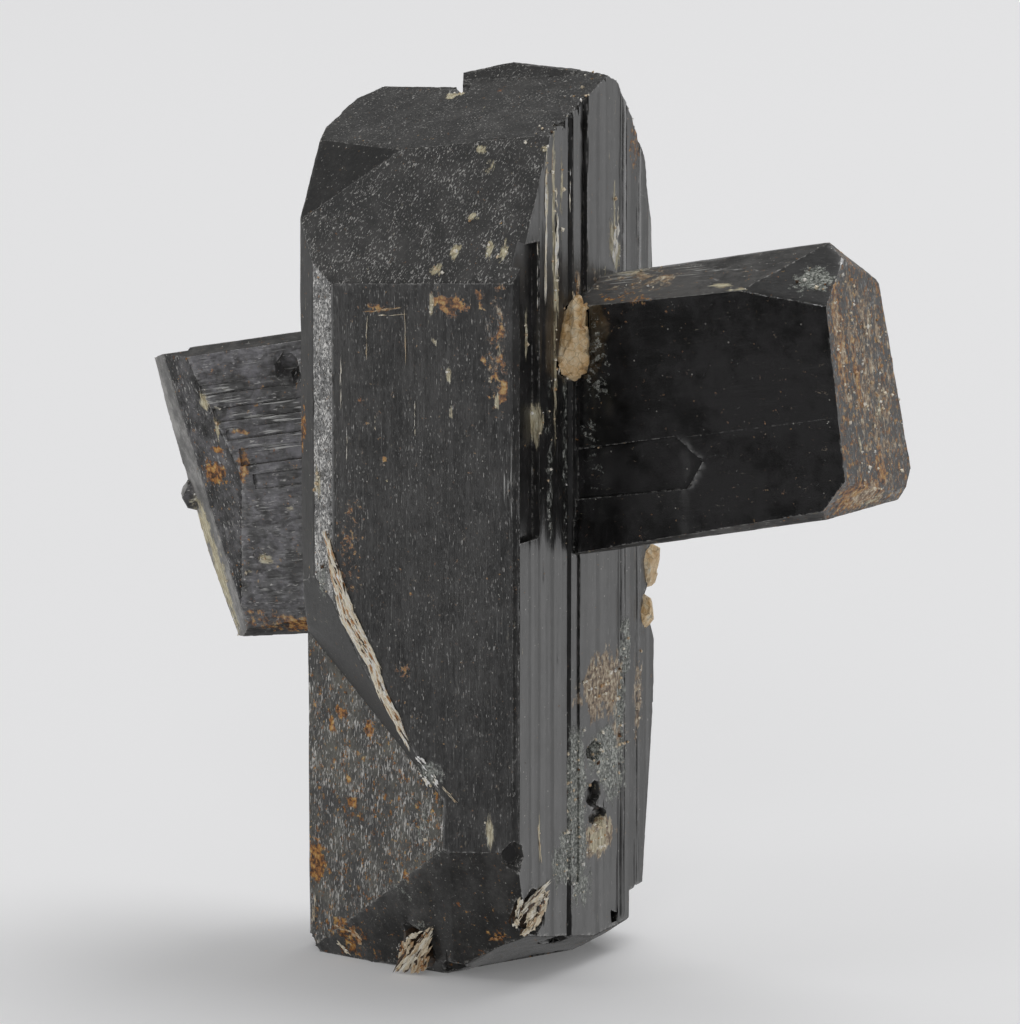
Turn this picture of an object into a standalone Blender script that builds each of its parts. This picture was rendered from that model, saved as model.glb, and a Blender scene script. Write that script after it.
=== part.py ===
"""A tantalite specimen: an upright striated crystal with a second one grown through it.

Run with: blender --background --python part.py

Every size in this file is in millimetres until place() turns it into metres. X runs to the
right across the front face, Y runs into the crystal and Z runs up along it. The origin is on
the flat foot, on the axis of the upright crystal.

A crystal face is given by where it looks and how far out it lies. "turn" is the angle from
straight ahead to the right, "lean" the angle upward, both in degrees, and "out" the distance
of the face from the crystal's own origin.
"""

import math
import random

import bmesh
import bpy
from mathutils import Matrix, Vector

METRES = 0.001
BLOCK = 100.0

# Driving dimensions of the upright crystal.
FRONT_OUT = 4.70
SIDE_OUT = 5.15
LEFT_OUT = 4.95
BACK_OUT = 5.52
CUT_LENGTH = 34.0

# Driving dimensions of the cross crystal, whose two arms tilt up to the right.
ARM_TILT = 11.0
ARM_FRONT = 0.60
RIGHT_ARM_ORIGIN = (5.15, 0.0, 19.0)
LEFT_ARM_ORIGIN = (-5.0, 0.0, 16.5)

# Clearance round a grain of another mineral in its seat.
SEAT_GAP = 0.10


def facing(turn, lean):
    """The direction a face looks in."""
    turn, lean = math.radians(turn), math.radians(lean)
    return Vector((
        math.sin(turn) * math.cos(lean),
        -math.cos(turn) * math.cos(lean),
        math.sin(lean),
    ))


def hull(faces):
    """The convex solid that lies inside all of the given faces (turn, lean, out)."""
    solid = bmesh.new()
    bmesh.ops.create_cube(solid, size=BLOCK)
    for turn, lean, out in faces:
        normal = facing(turn, lean)
        everything = solid.verts[:] + solid.edges[:] + solid.faces[:]
        result = bmesh.ops.bisect_plane(
            solid, geom=everything, plane_co=normal * out, plane_no=normal, clear_outer=True)
        rim = [part for part in result["geom_cut"] if isinstance(part, bmesh.types.BMEdge)]
        if rim:
            bmesh.ops.edgeloop_fill(solid, edges=rim)
    bmesh.ops.recalc_face_normals(solid, faces=solid.faces[:])
    return solid


def prism(outline, bottom, top):
    """An upright bar with the given outline of (x, y) points."""
    solid = bmesh.new()
    floor = solid.faces.new([solid.verts.new((x, y, bottom)) for x, y in outline])
    raised = bmesh.ops.extrude_face_region(solid, geom=[floor])["geom"]
    corners = [part for part in raised if isinstance(part, bmesh.types.BMVert)]
    bmesh.ops.translate(solid, verts=corners, vec=(0.0, 0.0, top - bottom))
    bmesh.ops.recalc_face_normals(solid, faces=solid.faces[:])
    return solid


def fragment(size, seed, count=14, gap=0.0):
    """A small broken piece: flat faces at random round an ellipsoid of the given half sizes."""
    chance = random.Random(seed)
    faces = []
    for step in range(count):
        lean = math.degrees(math.asin(1.0 - 2.0 * (step + 0.5) / count)) + chance.uniform(-9, 9)
        turn = 137.5 * step + chance.uniform(-22, 22)
        look = facing(turn, lean)
        reach = math.sqrt(sum((look[axis] * size[axis]) ** 2 for axis in range(3)))
        faces.append((turn, lean, reach * chance.uniform(0.78, 1.0) + gap))
    return hull(faces)


def place(name, solid, at=(0.0, 0.0, 0.0), tilt=0.0, swing=0.0, roll=0.0):
    """Make an object in metres from a solid in millimetres, turned and moved into place."""
    turned = (
        Matrix.Rotation(math.radians(swing), 4, "Z")
        @ Matrix.Rotation(math.radians(-tilt), 4, "Y")
        @ Matrix.Rotation(math.radians(roll), 4, "X")
    )
    moved = Matrix.Scale(METRES, 4) @ Matrix.Translation(at) @ turned
    bmesh.ops.transform(solid, matrix=moved, verts=solid.verts[:])
    mesh = bpy.data.meshes.new(name)
    solid.to_mesh(mesh)
    solid.free()
    thing = bpy.data.objects.new(name, mesh)
    bpy.context.collection.objects.link(thing)
    return thing


def combine(target, tool, operation):
    """Join a helper solid to the target or cut it away, and hide the helper."""
    tool.hide_render = True
    tool.display_type = "WIRE"
    step = target.modifiers.new(tool.name, "BOOLEAN")
    step.operation = operation
    step.solver = "EXACT"
    step.object = tool


def finish(name, colour, roughness, metallic=0.0):
    """A plain surface finish."""
    material = bpy.data.materials.new(name)
    material.use_nodes = True
    shader = material.node_tree.nodes["Principled BSDF"]
    shader.inputs["Base Color"].default_value = (*colour, 1.0)
    shader.inputs["Roughness"].default_value = roughness
    shader.inputs["Metallic"].default_value = metallic
    material.diffuse_color = (*colour, 1.0)
    return material


def grooved(start, end, grooves):
    """Points along a wall from start to end with upright grooves (from, width, depth)."""
    start, end = Vector(start), Vector(end)
    along = (end - start).normalized()
    inward = Vector((-along.y, along.x))
    points = [start]
    for first, width, depth in grooves:
        shoulder = 0.4 * width
        points.append(start + along * first)
        points.append(start + along * (first + shoulder) + inward * depth)
        points.append(start + along * (first + width - shoulder) + inward * depth)
        points.append(start + along * (first + width))
    return [(point.x, point.y) for point in points]


def growth_grooves(length, count, deepest, seed):
    """Upright growth grooves spread at random along a wall."""
    chance = random.Random(seed)
    pitch = length / count
    grooves = []
    for step in range(count):
        width = pitch * chance.uniform(0.25, 0.6)
        first = pitch * (step + 0.1) + chance.uniform(0.0, 0.25) * pitch
        grooves.append((first, width, deepest * chance.uniform(0.35, 1.0)))
    return grooves


def upright_outline():
    """The outline of the upright crystal, walked anticlockwise seen from above."""
    corners = [
        (-2.18, -FRONT_OUT),
        (SIDE_OUT - 0.14, -FRONT_OUT),
        (SIDE_OUT, 0.24 - FRONT_OUT),
        (SIDE_OUT, 3.30),
        (4.92, BACK_OUT),
        (-3.40, BACK_OUT),
        (-LEFT_OUT, 3.70),
        (-LEFT_OUT, -1.45),
        (-4.06, -3.65),
        (-3.10, -4.38),
    ]
    side_grooves = [
        (0.62, 0.36, 0.02),
        (1.24, 0.50, 0.03),
        (2.16, 0.70, 0.05),
        (3.30, 0.34, 0.12),
        (5.30, 0.60, 0.02),
        (6.86, 0.56, 0.06),
    ]
    walls = [
        [],
        [],
        side_grooves,
        [(0.50, 0.40, 0.04), (1.30, 0.50, 0.03)],
        growth_grooves(8.2, 7, 0.11, seed=7),
        [],
        growth_grooves(5.0, 5, 0.08, seed=9),
        [],
        [],
        [],
    ]
    outline = []
    for index, grooves in enumerate(walls):
        outline += grooved(corners[index], corners[(index + 1) % len(corners)], grooves)
    return outline


def upright_ends():
    """The faces that close the upright crystal above and break it off below."""
    crown = [
        (-1.9, 25.9, 14.86),
        (-16.6, 65.9, 27.27),
        (-16.9, 39.2, 20.18),
        (163.7, 60.0, 28.60),
        (178.0, 35.7, 20.13),
        (178.0, 15.5, 11.98),
        (180.0, 4.0, 6.88),
        (-68.0, 7.1, 8.33),
        (-88.0, 60.0, 28.30),
    ]
    foot = [
        (0.0, -90.0, 0.0),
        (-6.6, -14.6, 3.04),
        (1.9, -15.5, 3.33),
        (-2.0, -36.0, 2.45),
        (66.0, -62.3, 1.15),
        (92.0, -56.0, 2.05),
        (125.0, -40.0, 4.05),
        (120.0, -3.3, 6.49),
        (178.0, -52.0, 2.75),
        (-98.0, -50.0, 3.35),
        (-60.0, -42.0, 3.60),
    ]
    return hull(crown + foot)


def build_upright():
    """The upright crystal with its lower left corner stepped back along a slanting ledge."""
    crystal = place("crystal_cross", prism(upright_outline(), -1.0, CUT_LENGTH))
    combine(crystal, place("upright_ends", upright_ends()), "INTERSECT")
    stepped_back = (163.0, 0.0, -3.84)
    for name, riser in (("step_upper", (148.1, 16.2, -1.27)), ("step_lower", (146.2, 22.4, 0.05))):
        combine(crystal, place(name, hull([stepped_back, riser])), "DIFFERENCE")
    lip = hull([
        (-8.3, 29.7, 13.47),
        (175.5, 12.0, 8.99),
        (90.0, 87.9, 31.36),
        (-90.0, 76.7, 30.30),
        (90.0, 0.0, 3.70),
        (0.0, -90.0, -30.20),
    ])
    combine(crystal, place("crown_lip", lip), "UNION")
    notch = hull([(-9.0, 0.0, -1.49), (119.0, 0.0, 0.21), (0.0, -84.0, -29.75)])
    combine(crystal, place("crown_notch", notch), "DIFFERENCE")
    channel = hull([
        (-90.0, 0.0, -4.82),
        (0.0, 0.0, 4.44),
        (180.0, 0.0, -3.06),
        (90.0, 72.0, 26.25),
        (90.0, -60.0, -11.10),
    ])
    combine(crystal, place("side_channel", channel), "DIFFERENCE")
    slab_end = hull([(0.0, 0.0, -3.36), (-90.0, 0.0, -3.30), (90.0, 70.0, 3.70)])
    combine(crystal, place("slab_end", slab_end), "DIFFERENCE")
    upper_groove = hull([(-90.0, 0.0, -4.99), (0.0, 0.0, 0.27), (180.0, 0.0, 0.18), (0.0, -90.0, -20.0)])
    combine(crystal, place("upper_groove", upper_groove), "DIFFERENCE")
    lower_groove = hull([
        (-90.0, 0.0, -5.08),
        (0.0, 0.0, 0.84),
        (180.0, 0.0, -0.28),
        (90.0, -70.0, -1.20),
        (0.0, 90.0, 16.0),
    ])
    combine(crystal, place("lower_groove", lower_groove), "DIFFERENCE")
    edge_notch = hull([(-60.0, -14.8, -9.53), (-60.0, 18.4, -2.30)])
    combine(crystal, place("edge_notch", edge_notch), "DIFFERENCE")
    return crystal


def build_right_arm():
    """The right arm: a glossy bar with bevelled long edges and a blunt end."""
    faces = [
        (0.0, 0.0, ARM_FRONT),
        (4.5, 64.0, 4.19),
        (0.0, 89.0, 5.14),
        (179.0, 49.0, 5.38),
        (180.0, 9.4, 4.58),
        (90.0, -89.0, 4.15),
        (4.5, -61.0, 3.83),
        (180.0, -48.0, 5.74),
        (94.0, -3.5, 10.10),
        (49.9, 46.1, 8.17),
        (21.6, 51.7, 5.21),
        (112.0, 38.0, 10.74),
        (92.0, -29.0, 10.30),
        (80.7, -46.8, 8.82),
        (-90.0, 0.0, 3.0),
    ]
    arm = place("right_arm", hull(faces), at=RIGHT_ARM_ORIGIN, tilt=ARM_TILT)
    arrow = [(-1.2, -0.55), (3.84, -0.52), (4.75, -1.48), (3.97, -2.34), (-1.2, -2.20)]
    pit = place("arrow_step", prism(arrow, 0.44, 2.0), at=RIGHT_ARM_ORIGIN, tilt=ARM_TILT, roll=90.0)
    combine(arm, pit, "DIFFERENCE")
    return arm


def build_left_arm():
    """The left arm: a taller bar whose slanting end is broken by flat faces."""
    faces = [
        (0.0, 0.0, ARM_FRONT),
        (-17.4, -5.6, 1.55),
        (-4.0, -10.5, 0.73),
        (0.0, 62.0, 4.74),
        (180.0, 80.0, 5.25),
        (180.0, 52.0, 5.85),
        (180.0, 0.0, 4.55),
        (-90.0, -86.0, 5.74),
        (0.0, -58.0, 3.98),
        (180.0, -50.0, 6.20),
        (-38.1, -7.0, 3.32),
        (-90.0, 0.0, 7.04),
        (-80.0, -5.0, 6.60),
        (-80.0, -12.0, 6.75),
        (-135.0, -4.0, 7.30),
        (90.0, 0.0, 3.0),
    ]
    arm = place("left_arm", hull(faces), at=LEFT_ARM_ORIGIN, tilt=ARM_TILT)
    low_end = hull([(90.0, 0.0, -5.09), (0.0, -80.0, -5.13)])
    combine(arm, place("top_ledge", low_end, at=LEFT_ARM_ORIGIN, tilt=ARM_TILT), "DIFFERENCE")
    # Lengthwise growth ledges: where each starts, its height on the arm, width and depth.
    ledges = [
        (-4.6, 3.55, 0.22, 0.07),
        (-4.2, 2.60, 0.30, 0.10),
        (-3.8, 1.95, 0.20, 0.08),
        (-3.4, 1.05, 0.34, 0.12),
        (-3.0, 0.20, 0.24, 0.10),
        (-3.6, -2.10, 0.30, 0.09),
        (-3.9, -3.30, 0.36, 0.11),
    ]
    for index, (start, height, width, depth) in enumerate(ledges):
        groove = hull([
            (-90.0, 0.0, -start),
            (180.0, 80.0, height + width),
            (180.0, -70.0, -height),
            (90.0, 0.0, 3.0),
            (180.0, 0.0, depth - ARM_FRONT),
        ])
        name = "arm_ledge_%d" % (index + 1)
        combine(arm, place(name, groove, at=LEFT_ARM_ORIGIN, tilt=ARM_TILT), "DIFFERENCE")
    return arm


# Hollows left where grains fell out or the crystal is chipped: centre, half sizes and seed.
HOLLOWS = {
    "side_pit": [
        ((5.12, 0.72, 7.62), (0.42, 0.62, 0.30), 11),
        ((5.10, 0.74, 6.06), (0.46, 0.58, 0.46), 12),
        ((5.12, 0.98, 5.28), (0.36, 0.70, 0.30), 13),
    ],
    "corner_pit": [
        ((5.02, -4.58, 4.90), (0.44, 0.38, 0.60), 14),
        ((5.22, -4.70, 6.90), (0.20, 0.18, 0.30), 15),
    ],
    "arm_hollow": [
        ((-6.55, -0.62, 20.35), (0.62, 0.34, 0.66), 16),
        ((-8.10, -0.25, 13.40), (0.42, 0.26, 0.34), 17),
    ],
    "crown_chip": [
        ((5.26, -1.70, 29.95), (0.24, 0.44, 0.20), 21),
        ((5.26, -0.60, 30.45), (0.26, 0.40, 0.20), 23),
        ((-0.62, 1.36, 30.48), (0.40, 0.44, 0.24), 24),
        ((3.20, -2.35, 29.62), (0.50, 0.26, 0.18), 25),
    ],
    "back_scar": [
        ((-1.60, 5.15, 7.60), (1.50, 0.42, 2.10), 31),
        ((1.90, 5.20, 4.40), (1.20, 0.46, 1.30), 32),
        ((-3.10, 4.95, 21.60), (0.90, 0.36, 1.60), 33),
        ((-5.10, 1.60, 7.20), (0.32, 0.90, 1.50), 34),
        ((-5.05, -0.90, 3.20), (0.26, 0.70, 0.80), 35),
    ],
    "foot_chip": [
        ((-4.60, -2.60, 0.25), (0.42, 0.50, 0.34), 41),
        ((-2.20, -3.60, 0.10), (0.70, 0.34, 0.26), 42),
        ((1.90, -3.40, 0.30), (0.60, 0.50, 0.34), 43),
        ((4.70, -1.30, 1.20), (0.60, 0.60, 0.44), 44),
        ((4.70, 2.20, 1.40), (0.60, 0.50, 0.40), 45),
        ((0.60, 4.90, 0.90), (1.20, 0.60, 0.60), 46),
    ],
    "arm_chip": [
        ((14.40, 4.65, 16.60), (0.60, 0.34, 0.40), 51),
        ((12.60, 4.90, 20.60), (0.90, 0.34, 0.50), 52),
        ((10.20, 4.80, 15.60), (1.10, 0.40, 0.36), 53),
        ((-12.60, 3.60, 19.70), (0.44, 0.60, 0.30), 54),
        ((-9.60, 4.70, 20.60), (0.90, 0.36, 0.40), 55),
        ((-9.20, 4.60, 11.20), (0.80, 0.50, 0.46), 56),
    ],
}

# Grains of other minerals that the crystal holds: centre, half sizes, swing, tilt, seed, finish.
GRAINS = {
    "feldspar_grain": ((5.24, -1.04, 22.30), (0.50, 0.62, 1.50), 20.0, -8.0, 61, "feldspar"),
    "mica_flake_foot": ((0.52, -3.72, 0.84), (0.60, 0.26, 0.84), 0.0, 26.0, 62, "mica"),
    "mica_flake_corner": ((5.06, -3.46, 2.74), (0.26, 0.92, 0.72), 0.0, 0.0, 63, "mica"),
    "edge_grain_upper": ((4.76, 5.16, 13.42), (0.30, 0.36, 0.80), 10.0, 0.0, 64, "feldspar"),
    "edge_grain_lower": ((4.82, 4.74, 11.88), (0.32, 0.40, 0.56), -8.0, 0.0, 65, "feldspar"),
}


def build_crystal():
    """Both crystals in one solid, with the ledges, pits and chips of the real piece."""
    crystal = build_upright()
    combine(crystal, build_right_arm(), "UNION")
    combine(crystal, build_left_arm(), "UNION")
    broken_ledge = place("end_ledge", fragment((0.42, 0.60, 0.66), 18), at=(-11.80, 1.35, 15.20))
    combine(crystal, broken_ledge, "UNION")
    for group, hollows in HOLLOWS.items():
        for index, (centre, size, seed) in enumerate(hollows):
            name = "%s_%d" % (group, index + 1)
            combine(crystal, place(name, fragment(size, seed), at=centre), "DIFFERENCE")
    for name, (centre, size, swing, tilt, seed, _) in GRAINS.items():
        seat = fragment(size, seed, gap=SEAT_GAP)
        seat = place(name + "_seat", seat, at=centre, swing=swing, tilt=tilt)
        combine(crystal, seat, "DIFFERENCE")
    crystal.data.materials.append(finish("black_crystal", (0.030, 0.030, 0.031), 0.34, 0.1))
    return crystal


def build_grains():
    """The small grains of feldspar and mica, each in its seat in the crystal."""
    finishes = {
        "feldspar": finish("tan_feldspar", (0.47, 0.33, 0.19), 0.45),
        "mica": finish("brown_mica", (0.38, 0.25, 0.13), 0.38),
    }
    for name, (centre, size, swing, tilt, seed, kind) in GRAINS.items():
        grain = place(name, fragment(size, seed), at=centre, swing=swing, tilt=tilt)
        grain.data.materials.append(finishes[kind])


for thing in list(bpy.data.objects):
    bpy.data.objects.remove(thing, do_unlink=True)

build_crystal()
build_grains()
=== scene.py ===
"""A tantalite crystal specimen on a plain pale floor, in soft studio light."""
import math
import random

import bmesh
import bpy
from mathutils import Matrix, Vector, noise


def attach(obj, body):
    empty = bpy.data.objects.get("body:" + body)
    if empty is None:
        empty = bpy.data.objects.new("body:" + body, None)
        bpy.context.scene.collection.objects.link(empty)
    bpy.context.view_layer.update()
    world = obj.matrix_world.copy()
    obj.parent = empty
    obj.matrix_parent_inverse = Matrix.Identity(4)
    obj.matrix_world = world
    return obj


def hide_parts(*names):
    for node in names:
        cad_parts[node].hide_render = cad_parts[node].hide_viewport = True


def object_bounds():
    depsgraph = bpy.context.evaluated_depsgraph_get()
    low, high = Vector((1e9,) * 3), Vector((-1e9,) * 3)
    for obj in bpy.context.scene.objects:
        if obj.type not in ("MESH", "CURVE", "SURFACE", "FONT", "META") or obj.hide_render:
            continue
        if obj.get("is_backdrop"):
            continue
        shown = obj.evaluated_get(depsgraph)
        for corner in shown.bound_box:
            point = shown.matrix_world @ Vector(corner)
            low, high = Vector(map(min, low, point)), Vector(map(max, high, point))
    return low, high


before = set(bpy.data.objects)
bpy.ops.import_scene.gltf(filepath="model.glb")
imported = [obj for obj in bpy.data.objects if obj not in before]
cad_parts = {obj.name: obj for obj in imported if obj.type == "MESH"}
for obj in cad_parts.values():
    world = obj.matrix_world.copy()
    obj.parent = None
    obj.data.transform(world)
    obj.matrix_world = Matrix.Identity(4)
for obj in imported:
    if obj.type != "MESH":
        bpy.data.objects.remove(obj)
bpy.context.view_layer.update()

# A fixed seed, so that the noise that bends the stains and breaks is the same at each run.
noise.seed_set(1)

# The black crystal.
# The real piece is one lump of tantalite: an upright prism with a second crystal grown through
# it as a cross. Its faces are flat and grooved lengthwise by growth, and broken off below.
MM = 0.001
ARM_TILT = 11.0
ARM_AXIS = Vector((math.cos(math.radians(ARM_TILT)), 0.0, math.sin(math.radians(ARM_TILT))))
ARM_RISE = Vector((-ARM_AXIS.z, 0.0, ARM_AXIS.x))
# Where the arms leave the upright crystal, where its front face lies and how far down its crown
# reaches, in mm.
RIGHT_ARM_START = 5.17
LEFT_ARM_START = -4.97
FRONT = -4.70
CROWN_START = 29.0
# The stepped face low on the left: how far it is turned, in degrees, and how far out it lies.
STEP_TURN = -17.0
STEP_OUT = 3.84
# The bright slab at the back of the right side: where the side lies along X, where the slab
# starts along Y, and how far down it reaches.
SIDE_FACE = (4.8, RIGHT_ARM_START)
SLAB_START, SLAB_FOOT = 2.8, 20.3


def facing(turn, lean):
    """The direction a face looks in: turned to the right, then leaning up, in degrees."""
    turn, lean = math.radians(turn), math.radians(lean)
    level = math.cos(lean)
    return Vector((math.sin(turn) * level, -math.cos(turn) * level, math.sin(lean)))


def turn_and_lean(away):
    """How far a direction is turned to the right and how far it leans up, in degrees."""
    lean = math.degrees(math.asin(max(-1.0, min(1.0, away.z))))
    return math.degrees(math.atan2(away.x, -away.y)), lean


def upright_zone(normal, centre):
    """Which kind of face a flat part of the upright crystal is."""
    turn, lean = turn_and_lean(normal)
    if centre.z < 0.02:
        return "foot"
    if centre.z > 30.5 and lean > 20.0:
        return "crown"
    if lean < -10.0:
        return "riser" if centre.z > 7.0 and abs(turn) < 60.0 else "fracture"
    if lean > 12.0:
        if abs(turn) < 10.0 and lean < 50.0:
            return "slope"
        return "dark_facet" if abs(turn + 16.9) < 8.0 and lean < 50.0 else "crown"
    if centre.z < 17.0 and abs(facing(STEP_TURN, 0.0).dot(centre) - STEP_OUT) < 0.05:
        return "stepped"
    if centre.y < FRONT + 0.10 and centre.x > -2.2:
        return "front"
    if centre.y < -3.4 and turn < -10.0:
        return "glitter" if turn > -28.0 else "band"
    if centre.x > 5.0 and centre.y < -4.4 and 40.0 < turn < 75.0:
        return "corner_band"
    if centre.x > 4.3:
        return "slab" if turn < 88.0 and centre.y > SLAB_START and centre.z > SLAB_FOOT else "side"
    return "left" if centre.x < -4.0 and centre.y < 4.0 else "back"


def arm_zone(normal, centre, right):
    """Which kind of face a flat part of an arm is."""
    local = Vector((normal.dot(ARM_AXIS), normal.y, normal.dot(ARM_RISE)))
    turn, lean = turn_and_lean(local)
    if local.y > 0.5:
        return "arm_back"
    if right:
        faces_front = abs(turn) < 8.0 and abs(lean) < 20.0
        if centre.y < 0.0 and (faces_front or centre.y < -0.42 and centre.x < 11.0):
            return "arm_front"
        if 45.0 < turn < 60.0 and lean > 30.0:
            return "arm_corner"
        if turn > 30.0 and -50.0 < lean < -20.0:
            return "arm_low_corner"
        if 12.0 < turn < 35.0 and 45.0 < lean < 56.0:
            return "arm_shade"
        if abs(lean) > 50.0:
            return "arm_bevel" if local.y < -0.2 else "arm_top"
        return "arm_end"
    if abs(lean) > 50.0:
        return "left_bevel" if local.y < -0.2 else "arm_top"
    if turn < -60.0:
        return "left_end"
    if turn < -28.0:
        return "left_sliver"
    return "left_facet" if turn < -8.0 else "left_front"


# How finely each zone is divided, in mm: along X, along Y and along Z for the upright crystal,
# along the arm, along Y and across the arm for the arms. 0 leaves it undivided that way.
DIVISIONS = {
    "front": (0.082, 0.0, 0.25),
    "slope": (0.075, 0.0, 0.09),
    "crown": (0.120, 0.12, 0.0),
    "dark_facet": (0.15, 0.0, 0.18),
    "band": (0.0, 0.075, 0.24),
    "glitter": (0.075, 0.0, 0.12),
    "stepped": (0.080, 0.0, 0.13),
    "riser": (0.10, 0.0, 0.18),
    "fracture": (0.11, 0.11, 0.0),
    "side": (0.0, 0.085, 0.34),
    "slab": (0.0, 0.10, 0.36),
    "left": (0.0, 0.13, 0.36),
    "back": (0.13, 0.0, 0.36),
    "corner_band": (0.0, 0.0, 0.30),
    "foot": (0.60, 0.60, 0.0),
    "arm_front": (0.20, 0.0, 0.15),
    "arm_corner": (0.10, 0.0, 0.09),
    "arm_low_corner": (0.10, 0.0, 0.09),
    "arm_bevel": (0.24, 0.10, 0.0),
    "arm_shade": (0.24, 0.10, 0.0),
    "arm_top": (0.30, 0.12, 0.0),
    "arm_end": (0.0, 0.09, 0.12),
    "arm_back": (0.30, 0.0, 0.12),
    "left_front": (0.20, 0.0, 0.075),
    "left_facet": (0.12, 0.0, 0.09),
    "left_bevel": (0.20, 0.10, 0.0),
    "left_end": (0.0, 0.12, 0.15),
    "left_sliver": (0.10, 0.0, 0.12),
}
ZONES = list(DIVISIONS)
# A point nearer than this to a dividing plane counts as on it, in mm.
SNAP = 0.004
UPRIGHT_ZONES = ZONES[:ZONES.index("foot") + 1]
CUT_DIRECTIONS = {
    "x": Vector((1.0, 0.0, 0.0)),
    "y": Vector((0.0, 1.0, 0.0)),
    "z": Vector((0.0, 0.0, 1.0)),
    "along arm": ARM_AXIS,
    "across arm": ARM_RISE,
}


def zone_cuts(zone):
    """The families of planes that divide a zone: the name of each direction, and its step."""
    names = ("x", "y", "z") if zone in UPRIGHT_ZONES else ("along arm", "y", "across arm")
    return [(name, step) for name, step in zip(names, DIVISIONS[zone]) if step > 0.0]


def crossing_planes(points, direction, step):
    """The numbers of the evenly spaced planes that cross the space the points take up."""
    reach = [point.dot(direction) for point in points]
    return range(math.floor((min(reach) + SNAP) / step) + 1, math.ceil((max(reach) - SNAP) / step))


def split_cells(cells, points, shared, name, step, planes):
    """Split flat cells by parallel planes: at the middle one first, then each half the same way."""
    if not planes or not cells:
        return cells
    direction = CUT_DIRECTIONS[name]
    middle = len(planes) // 2
    number = planes[middle]
    place = number * step
    below, above = [], []
    for cell in cells:
        sides = [points[index].dot(direction) - place for index in cell]
        if max(sides) <= SNAP:
            below.append(cell)
            continue
        if min(sides) >= -SNAP:
            above.append(cell)
            continue
        outline = []
        for index, side, after, next_side in zip(
                cell, sides, cell[1:] + cell[:1], sides[1:] + sides[:1]):
            outline.append((index, side))
            if min(side, next_side) < -SNAP and max(side, next_side) > SNAP:
                key = (min(index, after), max(index, after), name, number)
                if key not in shared:
                    share = side / (side - next_side)
                    shared[key] = len(points)
                    points.append(points[index].lerp(points[after], share))
                outline.append((shared[key], 0.0))
        lowest = min(range(len(outline)), key=lambda place: outline[place][1])
        outline = outline[lowest:] + outline[:lowest]
        highest = max(range(len(outline)), key=lambda place: outline[place][1])
        rising = min(range(1, highest), key=lambda place: abs(outline[place][1]))
        falling = min(range(highest + 1, len(outline)), key=lambda place: abs(outline[place][1]))
        order = [index for index, _ in outline]
        below.append(order[falling:] + order[:rising + 1])
        above.append(order[rising:falling + 1])
    below = split_cells(below, points, shared, name, step, planes[:middle])
    return below + split_cells(above, points, shared, name, step, planes[middle + 1:])


def packed_solid(name):
    """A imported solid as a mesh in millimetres."""
    solid = bmesh.new()
    solid.from_mesh(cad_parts[name].data)
    bmesh.ops.scale(solid, vec=(1 / MM, 1 / MM, 1 / MM), verts=solid.verts)
    bmesh.ops.remove_doubles(solid, verts=solid.verts, dist=0.0001)
    return solid


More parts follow.
